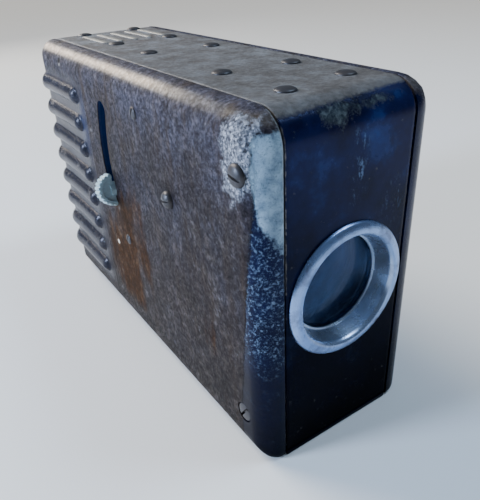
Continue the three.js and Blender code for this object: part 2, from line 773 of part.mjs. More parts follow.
function thumbPiece() {
  const [y, z] = leverPoint(leverReach, leverRestAngle);
  const seat = -sideX - thumbLift;
  const neck = rod(neckRadius, seat - 1, armX - headLift, 12, 'x', [0, y, z]);
  const outline = [];
  for (let i = 0; i <= thumbTeeth; i += 1) {
    const angle = Math.PI * i / thumbTeeth;
    outline.push(new THREE.Vector2(thumbRadius * Math.cos(angle), thumbRadius * Math.sin(angle)));
    if (i < thumbTeeth) {
      const between = Math.PI * (i + 0.5) / thumbTeeth;
      const root = thumbRadius - thumbToothDepth;
      outline.push(new THREE.Vector2(root * Math.cos(between), root * Math.sin(between)));
    }
  }
  const options = { depth: thumbThickness, bevelEnabled: false };
  const disc = new THREE.ExtrudeGeometry(new THREE.Shape(outline), options);
  disc.translate(0, 0, -thumbThickness / 2);
  // The disc's own X lies along the arc, its own Y stands out of the cover.
  disc.applyMatrix4(new THREE.Matrix4().makeBasis(
    new THREE.Vector3(0, -Math.sin(rad(leverRestAngle)), Math.cos(rad(leverRestAngle))),
    new THREE.Vector3(-1, 0, 0),
    new THREE.Vector3(0, Math.cos(rad(leverRestAngle)), Math.sin(rad(leverRestAngle))),
  ));
  disc.translate(seat, y, z);
  return joined(solid(disc), neck);
}

// Gears: straight-sided teeth, thinner than half a pitch so that the flanks keep their gap.
function toothPoints(teeth, index, phase, centre) {
  const pitchRadius = gearModule * teeth / 2;
  const middle = phase + 2 * Math.PI * index / teeth;
  const root = pitchRadius - toothDedendum;
  const tip = pitchRadius + toothAddendum;
  const corners = [[root, -toothRootHalf], [tip, -toothTipHalf], [tip, toothTipHalf], [root, toothRootHalf]];
  return corners.map(([r, across]) => {
    const angle = middle + across / r;
    return new THREE.Vector2(centre[0] + r * Math.cos(angle), centre[1] + r * Math.sin(angle));
  });
}

const meshAngle = Math.atan2(-shutterDrop, -shutterOffset);

function sectorGear() {
  const centre = [fromFront(pivotDepth), pivotHeight];
  const pitchStep = 2 * Math.PI / sectorTeeth;
  const before = Math.ceil((rad(leverTravel) + rad(sectorSpare)) / pitchStep);
  const beyond = Math.ceil(rad(sectorSpare) / pitchStep);
  const points = [];
  for (let i = -before; i <= beyond; i += 1) points.push(...toothPoints(sectorTeeth, i, meshAngle, centre));
  const shape = new THREE.Shape(points);
  shape.absarc(...centre, leverHubRadius, meshAngle + rad(60), meshAngle + rad(250), false);
  return boredGear(shape, pivotPinRadius + runGap, 16, pivotPlace);
}

function shutterPinion() {
  const centre = [fromFront(shutterDepth), shutterHeight];
  const phase = meshAngle + Math.PI + Math.PI / pinionTeeth;
  const teeth = Array.from({ length: pinionTeeth }, (_, i) => toothPoints(pinionTeeth, i, phase, centre));
  return boredGear(new THREE.Shape(teeth.flat()), shutterShaftRadius + seatGap, 12, shutterPlace);
}

function shutterShaft() {
  return rod(shutterShaftRadius, armX, plateHalfSpan + 1, 12, 'x', shutterPlace);
}

function shutterFlap() {
  const half = plateHalfSpan - flapMargin;
  const y = fromFront(shutterDepth);
  const collar = rod(shutterCollarRadius, -half, half, 12, 'x', shutterPlace);
  const foot = shutterHeight + flapFoot;
  const blade = box(-half, half, y - flapWall / 2, y + flapWall / 2, foot, lensHeight + flapReach);
  const bore = rod(shutterShaftRadius + seatGap, -half - 1, half + 1, 12, 'x', shutterPlace);
  return cut(joined(collar, blade), bore);
}

// Spiral return spring: a flat strip wound about the pivot pin.
function returnSpring() {
  const turns = 2;
  const steps = 28;
  const strip = 0.5;
  const innerRadius = pivotPinRadius + 0.9;
  const growth = 4;
  const edge = (shift) => Array.from({ length: steps + 1 }, (_, i) => {
    const t = i / steps;
    const r = innerRadius + growth * t + shift;
    const angle = 2 * Math.PI * turns * t;
    return new THREE.Vector2(fromFront(pivotDepth) + r * Math.cos(angle), pivotHeight + r * Math.sin(angle));
  });
  const x0 = gearX + gearWall + headLift;
  return slabX(new THREE.Shape([...edge(strip), ...edge(0).reverse()]), x0, plateOutsideX - headLift);
}

function pivotScrew() {
  return sideScrew({ depth: pivotDepth, height: pivotHeight, headRadius: 3, rise: 2 });
}

// Latch of the loading cover: a coin-slotted knob outside and a tongue inside.
function latchKnob() {
  const seat = sideX + seatGap;
  const stemEnd = coverInsideX - latchStemLength;
  const profile = [
    [0, stemEnd], [latchStemRadius, stemEnd], [latchStemRadius, seat], [latchRadius, seat],
    [latchRadius, seat + 0.9], [latchRadius - 0.8, seat + latchRise], [0, seat + latchRise],
  ];
  const knob = turned(profile, 24, 'x', latchPlace);
  const y = fromFront(latchDepth);
  const half = latchRadius + 1;
  const z0 = latchHeight - latchSlot / 2;
  return cut(knob, box(seat + 0.7, seat + 3, y - half, y + half, z0, z0 + latchSlot));
}

function latchTongue() {
  const y = fromFront(latchDepth);
  const x0 = coverInsideX - tongueWall - 2;
  const z0 = latchHeight - tongueDrop;
  const plate = box(x0, x0 + tongueWall, y - tongueDrop, y + tongueDrop, z0, latchHeight + tongueReach);
  return cut(plate, rod(latchStemRadius + seatGap, x0 - 1, x0 + 3, 16, 'x', latchPlace));
}

// Finishes
const finish = (color, roughness, metalness) => (
  new THREE.MeshStandardMaterial({ color, roughness, metalness }));
const sideEnamel = () => finish(0x2e2a30, 0.6, 0.2);
const wrapEnamel = () => finish(0x15182c, 0.35, 0.2);
const brightMetal = () => finish(0xb9b7b4, 0.3, 1);
const darkSteel = () => finish(0x3a3836, 0.5, 0.9);
const plateSteel = () => finish(0x7d7f80, 0.45, 0.9);
const gearBrass = () => finish(0xa98542, 0.4, 1);
const lensGlass = () => finish(0x20304c, 0.1, 0);
const blackPaint = () => finish(0x101010, 0.7, 0.1);
const springSteel = () => finish(0x8c8f94, 0.3, 1);

const camera = new THREE.Group();

function add(name, shape, material) {
  const mesh = new THREE.Mesh(geometryOf(shape), material);
  mesh.name = name;
  camera.add(mesh);
}

add('wrap_cover', wrapCover(), wrapEnamel());
add('base_plate', basePlate(), sideEnamel());
add('left_cover', leftCover(), sideEnamel());
add('right_cover', rightCover(), sideEnamel());
add('latch_knob', latchKnob(), darkSteel());
add('latch_tongue', latchTongue(), plateSteel());
sideScrews.forEach((screw) => add(screw.name, sideScrew(screw), darkSteel()));
add('lever_pivot_screw', pivotScrew(), darkSteel());
topRivetPlaces.forEach((place, i) => add(`top_rivet_${i + 1}`, topRivet(place), darkSteel()));

add('lens_bezel', lensBezel(), brightMetal());
add('lens_barrel', lensBarrel(), blackPaint());
add('front_lens', lensElement(...frontLensAt, frontLensBulge, 0), lensGlass());
add('lens_spacer', opticRing(lensRadius - spacerWall, spacerAt), blackPaint());
add('rear_lens', lensElement(...rearLensAt, rearLensBulge, 0), lensGlass());
add('lens_retaining_ring', opticRing(lensRadius - retainerWall, retainerAt), blackPaint());
add('aperture_plate', opticRing(apertureRadius, apertureAt), blackPaint());

add('left_chassis', leftChassis(), plateSteel());
add('right_chassis', rightChassis(), plateSteel());
pillarPlaces.forEach((place, i) => add(`cross_pillar_${i + 1}`, crossPillar(place), plateSteel()));
add('light_tunnel', lightTunnel(), blackPaint());
add('film_gate', filmGate(), plateSteel());
add('pressure_plate', pressurePlate(), plateSteel());
add('pressure_bracket', pressureBracket(), plateSteel());
add('pressure_spring', pressureSpring(), springSteel());

add('supply_spindle', supplySpindle(), plateSteel());
add('takeup_shaft', takeupShaft(), plateSteel());
Object.entries(spoolPlaces).forEach(([which, place]) => {
  add(`${which}_core`, spoolCore(place), plateSteel());
  add(`${which}_flange_left`, spoolFlange(place, -1), blackPaint());
  add(`${which}_flange_right`, spoolFlange(place, 1), blackPaint());
});
add('ratchet_wheel', ratchetWheel(), gearBrass());
add('ratchet_pawl', ratchetPawl(), plateSteel());
Object.entries(rollerHeights).forEach(([name, height]) => {
  add(`${name}_guide_roller`, guideRoller(height), plateSteel());
  add(`${name}_roller_pin`, rollerPin(height), plateSteel());
});

add('lever_arm', leverArm(), plateSteel());
add('thumb_piece', thumbPiece(), brightMetal());
add('sector_gear', sectorGear(), gearBrass());
add('return_spring', returnSpring(), springSteel());
add('shutter_shaft', shutterShaft(), plateSteel());
add('shutter_pinion', shutterPinion(), gearBrass());
add('shutter_flap', shutterFlap(), blackPaint());

export default camera;
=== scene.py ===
import json
import math
import bmesh
import bpy
import numpy as np
from mathutils import Matrix, Vector

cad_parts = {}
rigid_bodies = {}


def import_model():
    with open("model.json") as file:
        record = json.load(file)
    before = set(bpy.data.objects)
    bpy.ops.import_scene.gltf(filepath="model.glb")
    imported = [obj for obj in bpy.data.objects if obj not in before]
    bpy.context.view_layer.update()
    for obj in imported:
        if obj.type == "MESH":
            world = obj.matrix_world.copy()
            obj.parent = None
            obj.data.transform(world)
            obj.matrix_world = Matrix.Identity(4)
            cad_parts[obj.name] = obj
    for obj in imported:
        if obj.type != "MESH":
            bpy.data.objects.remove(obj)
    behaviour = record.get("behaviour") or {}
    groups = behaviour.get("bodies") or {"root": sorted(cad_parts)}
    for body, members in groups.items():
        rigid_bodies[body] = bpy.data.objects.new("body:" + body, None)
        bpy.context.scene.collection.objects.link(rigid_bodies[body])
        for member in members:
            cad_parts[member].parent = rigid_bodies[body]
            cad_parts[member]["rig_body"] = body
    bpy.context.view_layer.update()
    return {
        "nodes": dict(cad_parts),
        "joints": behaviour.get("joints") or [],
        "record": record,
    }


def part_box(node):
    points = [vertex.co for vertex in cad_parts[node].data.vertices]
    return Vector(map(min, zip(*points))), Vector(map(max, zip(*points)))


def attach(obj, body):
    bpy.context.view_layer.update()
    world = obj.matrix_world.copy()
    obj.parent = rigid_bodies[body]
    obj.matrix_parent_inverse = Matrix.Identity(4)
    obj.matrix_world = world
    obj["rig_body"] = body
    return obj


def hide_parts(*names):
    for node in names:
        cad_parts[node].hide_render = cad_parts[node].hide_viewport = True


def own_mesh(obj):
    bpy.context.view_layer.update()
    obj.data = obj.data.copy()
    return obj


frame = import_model()
print("frame loaded")

mm = 0.001
joints = {joint["name"]: joint for joint in frame["joints"]}

housing = {
    "halfWidth": 30.3 * mm,  # from the middle to the flat of a side cover, without its ribs
    "edgeFillet": 7.25 * mm,
    "frontTopRadius": 9.2 * mm,
    "rearTopRadius": 4.5 * mm,
    "bottomRadius": 1.6 * mm,
    "wall": 1.1 * mm,
}
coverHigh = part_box("left_cover")[1]
wrapLow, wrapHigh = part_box("wrap_cover")
frontY, rearY = wrapLow.y, wrapHigh.y
topZ = coverHigh.z
seamX = -coverHigh.x


def centreOf(node):
    # half way between the two corners of a node's box
    low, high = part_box(node)
    return (low + high) / 2


def newMaterial(name):
    # an empty node material: the material, its tree and its shader
    material = bpy.data.materials.new(name)
    material.use_nodes = True
    tree = material.node_tree
    shader = tree.nodes["Principled BSDF"]
    return material, tree, shader


def put(tree, kind, inputs=None, **settings):
    # adds a node, sets its options, then fills or links its inputs by name or number
    node = tree.nodes.new(kind)
    for key, value in settings.items():
        setattr(node, key, value)
    for key, value in (inputs or {}).items():
        if isinstance(value, bpy.types.NodeSocket):
            tree.links.new(value, node.inputs[key])
        else:
            node.inputs[key].default_value = value
    return node


def objectPoint(tree, scale=(1, 1, 1)):
    # the place on the piece, each coordinate times its scale, so that a pattern can be drawn out along an axis
    point = put(tree, "ShaderNodeTexCoord").outputs["Object"]
    if scale == (1, 1, 1):
        return point
    return put(tree, "ShaderNodeMapping", {"Vector": point, "Scale": scale}).outputs["Vector"]


def stretched(tree, turn, scale):
    # turned first, then scaled, so that a pattern can be drawn out along a slanting line
    turned = put(tree, "ShaderNodeMapping", {"Vector": objectPoint(tree), "Rotation": turn}).outputs["Vector"]
    return put(tree, "ShaderNodeMapping", {"Vector": turned, "Scale": scale}).outputs["Vector"]


def noise(tree, point, scale, detail=6.0, roughness=0.6, distortion=0.0):
    # a sum of ever finer noises, each one weaker by the roughness, about 0.5
    return put(tree, "ShaderNodeTexNoise", {
        "Vector": point, "Scale": scale, "Detail": detail, "Roughness": roughness, "Distortion": distortion,
    }).outputs["Fac"]


def flakes(tree, point, scale, drift):
    # one random grey level per ragged cell: the cells' places are pushed about by a fine noise
    push = put(tree, "ShaderNodeTexNoise", {
        "Vector": point, "Scale": scale * 1.7, "Detail": 4.0, "Roughness": 0.7}).outputs["Color"]
    push = put(tree, "ShaderNodeVectorMath", {0: push, 1: (0.5, 0.5, 0.5)}, operation="SUBTRACT").outputs[0]
    push = put(tree, "ShaderNodeVectorMath", {0: push, 1: (drift, drift, drift)}, operation="MULTIPLY").outputs[0]
    moved = put(tree, "ShaderNodeVectorMath", {0: point, 1: push}, operation="ADD").outputs[0]
    cells = put(tree, "ShaderNodeTexVoronoi", {"Vector": moved, "Scale": scale, "Randomness": 1.0}).outputs["Color"]
    return put(tree, "ShaderNodeSeparateColor", {"Color": cells}).outputs["Red"]


def spot(tree, point, centre, radius, edge):
    # 1 inside a small ball round the centre, 0 outside it
    away = put(tree, "ShaderNodeVectorMath", {0: point, 1: centre}, operation="DISTANCE").outputs["Value"]
    return spread(tree, away, radius, radius - edge)


def ramp(tree, value, *stops):
    # stops are pairs of place and colour or grey level
    node = put(tree, "ShaderNodeValToRGB", {"Fac": value})
    while len(node.color_ramp.elements) < len(stops):
        node.color_ramp.elements.new(0.5)
    for element, (place, colour) in zip(node.color_ramp.elements, stops):
        element.position = place
        grey = isinstance(colour, (int, float))
        element.color = (colour, colour, colour, 1) if grey else (*colour, 1)
    return node.outputs["Color"]


def blendColours(tree, factor, first, second, how="MIX"):
    # first times one less the factor plus second times the factor; MULTIPLY takes their product as the second
    node = put(tree, "ShaderNodeMix", data_type="RGBA", blend_type=how)
    for socket, value in ((node.inputs[0], factor), (node.inputs[6], first), (node.inputs[7], second)):
        if isinstance(value, bpy.types.NodeSocket):
            tree.links.new(value, socket)
        elif isinstance(value, (int, float)):
            socket.default_value = value
        else:
            socket.default_value = (*value, 1)
    return node.outputs[2]


def math2(tree, how, first, second=0.0, clamp=False):
    # one sum, product or other step on two levels
    return put(tree, "ShaderNodeMath", {0: first, 1: second}, operation=how, use_clamp=clamp).outputs[0]


def spread(tree, value, low, high, toLow=0.0, toHigh=1.0):
    # a straight line from toLow at low to toHigh at high, level outside them
    return put(tree, "ShaderNodeMapRange", {
        "Value": value, "From Min": low, "From Max": high, "To Min": toLow, "To Max": toHigh,
    }).outputs["Result"]


def maskOf(tree, name):
    # a level from 0 to 1 that is kept on the piece's points
    return put(tree, "ShaderNodeAttribute", attribute_name=name).outputs["Fac"]


def ragged(tree, mask, grain, amount=0.8, width=0.12):
    # a soft mask whose edge is broken up: mask plus amount times the grain's swing, steepened about a half
    swing = math2(tree, "MULTIPLY", math2(tree, "SUBTRACT", grain, 0.5), amount)
    return spread(tree, math2(tree, "ADD", swing, mask), 0.5 - width, 0.5 + width)


def bumpOf(tree, height, distance, strength=1.0):
    # tilts the surface by the slope of a height, where a height of 1 stands for the distance
    return put(tree, "ShaderNodeBump", {"Height": height, "Distance": distance, "Strength": strength}).outputs["Normal"]


socketNames = {
    "colour": "Base Color", "metal": "Metallic", "rough": "Roughness", "normal": "Normal",
    "sheen": "Specular Tint", "gloss": "Specular IOR Level",
}


def feed(tree, shader, **sockets):
    # links or sets the shader's own sockets under their short names
    for key, value in sockets.items():
        socket = shader.inputs[socketNames[key]]
        if isinstance(value, bpy.types.NodeSocket):
            tree.links.new(value, socket)
        elif isinstance(value, (int, float)):
            socket.default_value = value
        else:
            socket.default_value = (*value, 1)


sideEnamel = {
    "brown": ((0.0042, 0.0027, 0.0032), (0.0170, 0.0108, 0.0120), (0.055, 0.036, 0.038)),
    # blue: the tone mixed in towards the top, a painted blue sky reflection
    "blue": ((0.0035, 0.0036, 0.0070), (0.0145, 0.0148, 0.0245), (0.050, 0.051, 0.076)),
    "rust": ((0.006, 0.0025, 0.001), (0.030, 0.0105, 0.0025), (0.090, 0.032, 0.006)),
    # worn: the rubbed top edge, its cream tone partly a painted warm highlight
    "worn": ((0.20, 0.165, 0.12), (0.38, 0.33, 0.25), (0.62, 0.56, 0.46)),
    "crust": ((0.022, 0.027, 0.038), (0.10, 0.118, 0.155), (0.30, 0.34, 0.43), (0.72, 0.80, 0.95)),
    "pale": ((0.135, 0.205, 0.275), (0.36, 0.52, 0.67)),
    "navy": ((0.0008, 0.0010, 0.006), (0.0025, 0.006, 0.036)),
    # slotWall: deep blue on the slot's cut wall, painted light
    "scuff": (0.21, 0.215, 0.27), "chip": (0.17, 0.25, 0.37), "slotWall": (0.012, 0.030, 0.105),
    "trail": (0.022, 0.012, 0.008), "calm": (0.019, 0.022, 0.034), "speck": (0.004, 0.004, 0.008),
    # rim: a painted highlight along the cover's front edge by the seam
    "paleSpeck": (0.05, 0.07, 0.09), "rim": (0.36, 0.40, 0.43), "relief": 0.8 * mm,
    # painted shade: the side made darker towards the bottom and lighter towards the top, as light falls from above
    "shade": ((0.0, 0.35), (0.30, 0.66), (0.72, 0.90), (0.93, 1.7)),  # share of the height, and how light it is there
    "roughness": {"smooth": 0.26, "calm": 0.25, "rust": 0.62, "worn": 0.30},
    # sheen: the reflections' tint; the smooth parts' blue is a painted blue sky reflection
    "sheen": {"wrinkled": (0.94, 0.86, 0.96), "smooth": (0.30, 0.40, 1.0), "rust": (0.55, 0.33, 0.18)},
    "gloss": {"wrinkled": 0.105, "calm": 0.22, "smooth": (0.03, 0.24)},
    "spots": (  # place, radius, soft edge, colour: a drop of paint, a light spot that is a painted highlight on the lip of a small pit, and the pit itself painted black as painted shade
        ((-30.3, 18.7, 37.7), 1.15, 0.35, (0.85, 0.76, 0.64)),
        ((-30.05, 53.2, 103.9), 1.35, 0.4, (0.26, 0.24, 0.23)),
        ((-29.9, 53.4, 104.9), 1.35, 0.3, (0.003, 0.003, 0.004)),
    ),
}


def sideEnamelFinish():
    # wrinkled brown-grey enamel with rust streaks, a crusty bare corner and a smooth strip down the front edge, with
    # painted shade low down, a painted blue sky reflection high up and painted highlights on the top edge and the front
    # rim
    material, tree, shader = newMaterial("sideEnamel")
    point = objectPoint(tree)
    parts = put(tree, "ShaderNodeSeparateXYZ", {"Vector": point}).outputs
    level = parts["Z"]
    slanted = stretched(tree, (math.radians(37), 0, 0), (1, 1, 0.40))
    broad = noise(tree, point, 55, 6, 0.66)
    cloud = noise(tree, point, 210, 8, 0.72)
    grain = noise(tree, point, 560, 9, 0.78)
    mottle = blendColours(tree, 0.14, grain, flakes(tree, point, 1150, 1.4 * mm))
    fleck = noise(tree, slanted, 760, 8, 0.86)
    speck = noise(tree, point, 1500, 5, 0.85)
    streaks = noise(tree, objectPoint(tree, (1, 1, 0.20)), 130, 8, 0.74)
    calm = maskOf(tree, "calm")

    brown = ramp(tree, mottle, *zip((0.34, 0.49, 0.66), sideEnamel["brown"]))
    blue = ramp(tree, mottle, *zip((0.34, 0.49, 0.66), sideEnamel["blue"]))
    # brown below, blue towards the top: the blue is a painted sky reflection, broken up at random by the broad noise
    # and the drips
    height = math2(tree, "MULTIPLY", math2(tree, "SUBTRACT", broad, 0.5), 2.2)
    height = math2(tree, "ADD", spread(tree, level, 0.030, 0.110), height)
    drips = math2(tree, "MULTIPLY", math2(tree, "SUBTRACT", streaks, 0.5), 2.0)
    height = math2(tree, "SUBTRACT", height, drips, True)
    colour = blendColours(tree, height, brown, blue)
    for value, stops in ((broad, ((0.34, 0.62), (0.66, 1.5))), (cloud, ((0.36, 0.66), (0.64, 1.34)))):
        colour = blendColours(tree, 1.0, colour, ramp(tree, value, *stops), "MULTIPLY")
    # painted shade: darker towards the bottom, lighter towards the top
    shade = ramp(tree, spread(tree, level, 0.0, 0.11), *sideEnamel["shade"])
    colour = blendColours(tree, 1.0, colour, shade, "MULTIPLY")
    trail = ramp(tree, streaks, (0.53, 0.0), (0.66, 0.75))
    colour = blendColours(tree, trail, colour, sideEnamel["trail"])
    colour = blendColours(tree, math2(tree, "MULTIPLY", calm, 0.75), colour, sideEnamel["calm"])
    scuff = math2(tree, "MULTIPLY", ramp(tree, fleck, (0.575, 0.0), (0.615, 1.0)), spread(tree, calm, 0, 1, 0.8, 0.1))
    scuff = math2(tree, "MULTIPLY", scuff, maskOf(tree, "scuffed"))
    scuff = math2(tree, "MULTIPLY", scuff, ramp(tree, cloud, (0.44, 0.1), (0.56, 1.0)))
    colour = blendColours(tree, scuff, colour, sideEnamel["scuff"])
    dark = ramp(tree, speck, (0.36, 0.9), (0.42, 0.0))
    colour = blendColours(tree, dark, colour, sideEnamel["speck"])

    rust = ragged(tree, maskOf(tree, "rust"), streaks, 1.9, 0.20)
    rustColour = ramp(tree, blendColours(tree, 0.5, mottle, cloud), *zip((0.36, 0.49, 0.64), sideEnamel["rust"]))
    colour = blendColours(tree, math2(tree, "MULTIPLY", rust, 0.92), colour, rustColour)

    # the top edge: worn paint and a painted warm highlight together, lighter, glossier and more metallic
    worn = ragged(tree, maskOf(tree, "worn"), cloud, 0.5, 0.5)
    wornAndHighlightTone = ramp(tree, mottle, *zip((0.34, 0.48, 0.62), sideEnamel["worn"]))
    colour = blendColours(tree, math2(tree, "MULTIPLY", worn, 0.9), colour, wornAndHighlightTone)

    crust = blendColours(tree, 0.16, noise(tree, point, 820, 11, 0.90), flakes(tree, point, 1700, 1.0 * mm))
    bare = ragged(tree, maskOf(tree, "bare"), cloud, 2.2, 0.2)
    bareColour = ramp(tree, crust, *zip((0.38, 0.46, 0.53, 0.60), sideEnamel["crust"]))
    colour = blendColours(tree, math2(tree, "MULTIPLY", bare, 0.95), colour, bareColour)

    pale = ragged(tree, maskOf(tree, "pale"), cloud, 1.4, 0.12)
    paleColour = ramp(tree, cloud, *zip((0.36, 0.64), sideEnamel["pale"]))
    paleColour = blendColours(tree, ramp(tree, speck, (0.38, 0.6), (0.46, 0.0)), paleColour, sideEnamel["paleSpeck"])
    navy = ragged(tree, maskOf(tree, "navy"), blendColours(tree, 0.5, mottle, cloud), 1.9, 0.12)
    chips = blendColours(tree, 0.10, noise(tree, point, 760, 11, 0.90), flakes(tree, point, 1900, 1.0 * mm))
    chipped = ragged(tree, maskOf(tree, "chipped"), cloud, 1.5, 0.3)
    chips = math2(tree, "MULTIPLY", ramp(tree, chips, (0.525, 0.0), (0.595, 1.0)), chipped)
    navyColour = ramp(tree, broad, *zip((0.35, 0.7), sideEnamel["navy"]))
    # painted shade: the navy strip made darker towards the bottom
    upward = spread(tree, level, 0.0, 0.07)
    navyColour = blendColours(tree, 1.0, navyColour, ramp(tree, upward, (0.0, 0.25), (1.0, 1.0)), "MULTIPLY")
    navyColour = blendColours(tree, chips, navyColour, sideEnamel["chip"])
    colour = blendColours(tree, navy, colour, navyColour)
    colour = blendColours(tree, pale, colour, paleColour)
    # painted highlight: the cover's front edge by the seam made light
    rim = ragged(tree, maskOf(tree, "rim"), mottle, 1.4, 0.2)
    colour = blendColours(tree, math2(tree, "MULTIPLY", rim, 0.7), colour, sideEnamel["rim"])
    for place, radius, edge, shown in sideEnamel["spots"]:
        mark = spot(tree, point, tuple(value * mm for value in place), radius * mm, edge * mm)
        colour = blendColours(tree, mark, colour, shown)
    # the cut wall of the lever's slot is painted deep blue: painted light, standing for the blue light seen inside the
    # slot
    inward = spread(tree, parts["X"], -housing["halfWidth"] + 0.20 * mm, -housing["halfWidth"] + 0.34 * mm)
    near = spot(tree, point, (-housing["halfWidth"], 16 * mm, 78 * mm), 25 * mm, 1 * mm)
    colour = blendColours(tree, math2(tree, "MULTIPLY", inward, near), colour, sideEnamel["slotWall"])

    smooth = math2(tree, "MAXIMUM", navy, pale)
    rough = ramp(tree, mottle, (0.32, 0.60), (0.66, 0.36))
    for name, mask in (("smooth", smooth), ("calm", calm), ("rust", rust), ("worn", worn)):
        rough = blendColours(tree, mask, rough, (sideEnamel["roughness"][name],) * 3)
    metal = math2(tree, "MAXIMUM", math2(tree, "MULTIPLY", bare, 0.30), math2(tree, "MULTIPLY", worn, 0.70))
    relief = math2(tree, "MULTIPLY", math2(tree, "MULTIPLY", fleck, maskOf(tree, "scuffed")), 0.5)
    relief = math2(tree, "ADD", relief, mottle)
    quiet = math2(tree, "MAXIMUM", math2(tree, "MAXIMUM", smooth, calm), math2(tree, "MULTIPLY", worn, 0.75))
    relief = math2(tree, "MULTIPLY", relief, spread(tree, quiet, 0, 1, 1.0, 0.10))
    relief = math2(tree, "ADD", relief, math2(tree, "MULTIPLY", crust, bare))
    # the smooth navy and pale parts tint their reflections blue: a painted blue sky reflection
    sheen = blendColours(tree, smooth, sideEnamel["sheen"]["wrinkled"], sideEnamel["sheen"]["smooth"])
    sheen = blendColours(tree, rust, sheen, sideEnamel["sheen"]["rust"])
    low, high = sideEnamel["gloss"]["smooth"]
    gloss = spread(tree, calm, 0, 1, sideEnamel["gloss"]["wrinkled"], sideEnamel["gloss"]["calm"])
    # the smooth parts also reflect less towards the bottom: more painted shade
    gloss = blendColours(tree, smooth, gloss, ramp(tree, upward, (0.0, low), (1.0, high)))
    feed(tree, shader, colour=colour, rough=rough, metal=metal, sheen=sheen, gloss=gloss,
         normal=bumpOf(tree, relief, sideEnamel["relief"], 0.9))
    return material


wrapEnamel = {
    "gloss": ((0.0030, 0.0034, 0.020), (0.0060, 0.0095, 0.055), (0.013, 0.040, 0.170)),
    "dull": ((0.068, 0.063, 0.061), (0.108, 0.106, 0.108), (0.158, 0.167, 0.182)),
    "patch": ((0.006, 0.010, 0.018), (0.040, 0.055, 0.062), (0.130, 0.165, 0.180)),
    "rust": (0.066, 0.050, 0.042), "dust": (0.09, 0.13, 0.26), "chip": (0.11, 0.18, 0.32), "worn": (0.40, 0.38, 0.34),
    "relief": 0.4 * mm,
    # depth: painted shade, the front's gloss darker towards the bottom; shine: its reflection weaker towards the
    # bottom, for the same painted shade
    "depth": ((0.0, 0.04), (0.42, 0.20), (1.0, 1.0)),  # share of the height, and how light the gloss is there
    "shine": ((0.0, 0.006), (0.42, 0.03), (1.0, 0.17)),
    # sheen: the gloss tints its reflections blue, a painted blue sky reflection
    "sheen": {"gloss": (0.40, 0.54, 1.0), "dull": (0.92, 0.95, 1.0)},
}


def wrapEnamelFinish():
    # glossy blue-black on the front, dull grey-brown on the top, with a worn patch on the bend; the front darkened
    # towards the bottom as painted shade, its reflections tinted blue as a painted sky reflection
    material, tree, shader = newMaterial("wrapEnamel")
    point = objectPoint(tree)
    parts = put(tree, "ShaderNodeSeparateXYZ", {"Vector": point}).outputs
    broad = noise(tree, point, 60, 6, 0.6)
    cloud = noise(tree, point, 130, 8, 0.70)
    grain = noise(tree, point, 620, 9, 0.82)
    mottle = blendColours(tree, 0.20, grain, flakes(tree, point, 1050, 1.3 * mm))
    fine = noise(tree, point, 1400, 5, 0.8)
    runs = noise(tree, objectPoint(tree, (1, 1, 0.5)), 360, 9, 0.86)
    gloss = ramp(tree, broad, *zip((0.38, 0.56, 0.72), wrapEnamel["gloss"]))
    # painted shade: the glossy front darker towards the bottom
    paintedShadeByHeight = ramp(tree, spread(tree, parts["Z"], 0.01, 0.10), *wrapEnamel["depth"])
    gloss = blendColours(tree, 1.0, gloss, paintedShadeByHeight, "MULTIPLY")
    dust = ramp(tree, noise(tree, point, 1500, 6, 0.88), (0.640, 0.0), (0.70, 1.0))
    gloss = blendColours(tree, math2(tree, "MULTIPLY", dust, 0.5), gloss, wrapEnamel["dust"])
    chips = math2(tree, "MULTIPLY", ramp(tree, runs, (0.545, 0.0), (0.59, 1.0)), maskOf(tree, "runs"))
    gloss = blendColours(tree, chips, gloss, wrapEnamel["chip"])
    dull = ramp(tree, cloud, *zip((0.34, 0.50, 0.68), wrapEnamel["dull"]))
    dull = blendColours(tree, 1.0, dull, ramp(tree, mottle, (0.34, 0.78), (0.64, 1.18)), "MULTIPLY")
    rust = ramp(tree, noise(tree, point, 160, 9, 0.78), (0.48, 0.0), (0.62, 1.0))
    rust = math2(tree, "MULTIPLY", rust, spread(tree, parts["Y"], -0.03, 0.045, 0.15, 0.75))
    dull = blendColours(tree, rust, dull, wrapEnamel["rust"])
    lighter = ramp(tree, spread(tree, parts["Y"], -0.05, 0.07), (0.0, 1.0), (1.0, 1.5))
    dull = blendColours(tree, 1.0, dull, lighter, "MULTIPLY")
    top = ragged(tree, maskOf(tree, "top"), mottle, 1.2, 0.3)
    colour = blendColours(tree, top, gloss, dull)
    patch = ragged(tree, maskOf(tree, "patch"), noise(tree, point, 300, 9, 0.84), 2.6, 0.16)
    patchColour = ramp(tree, mottle, *zip((0.34, 0.48, 0.64), wrapEnamel["patch"]))
    colour = blendColours(tree, math2(tree, "MULTIPLY", patch, 0.85), colour, patchColour)
    worn = ragged(tree, maskOf(tree, "worn"), mottle, 1.3, 0.3)
    colour = blendColours(tree, worn, colour, wrapEnamel["worn"])
    glossRough = ramp(tree, broad, (0.3, 0.18), (0.7, 0.30))
    dullRough = ramp(tree, mottle, (0.32, 0.58), (0.66, 0.38))
    rough = blendColours(tree, top, glossRough, dullRough)
    rough = blendColours(tree, patch, rough, (0.45, 0.45, 0.45))
    relief = math2(tree, "ADD", math2(tree, "MULTIPLY", fine, 0.35), mottle)
    relief = math2(tree, "MULTIPLY", relief, spread(tree, math2(tree, "MAXIMUM", top, patch), 0, 1, 0.06, 0.7))
    feed(tree, shader, colour=colour, rough=rough, metal=math2(tree, "MULTIPLY", worn, 0.6),
         # blue reflections on the gloss: a painted sky reflection
         sheen=blendColours(tree, top, wrapEnamel["sheen"]["gloss"], wrapEnamel["sheen"]["dull"]),
         # reflection weaker towards the bottom: painted shade
         gloss=ramp(tree, spread(tree, parts["Z"], 0.0, 0.095), *wrapEnamel["shine"]),
         normal=bumpOf(tree, relief, wrapEnamel["relief"], 0.75))
    return material


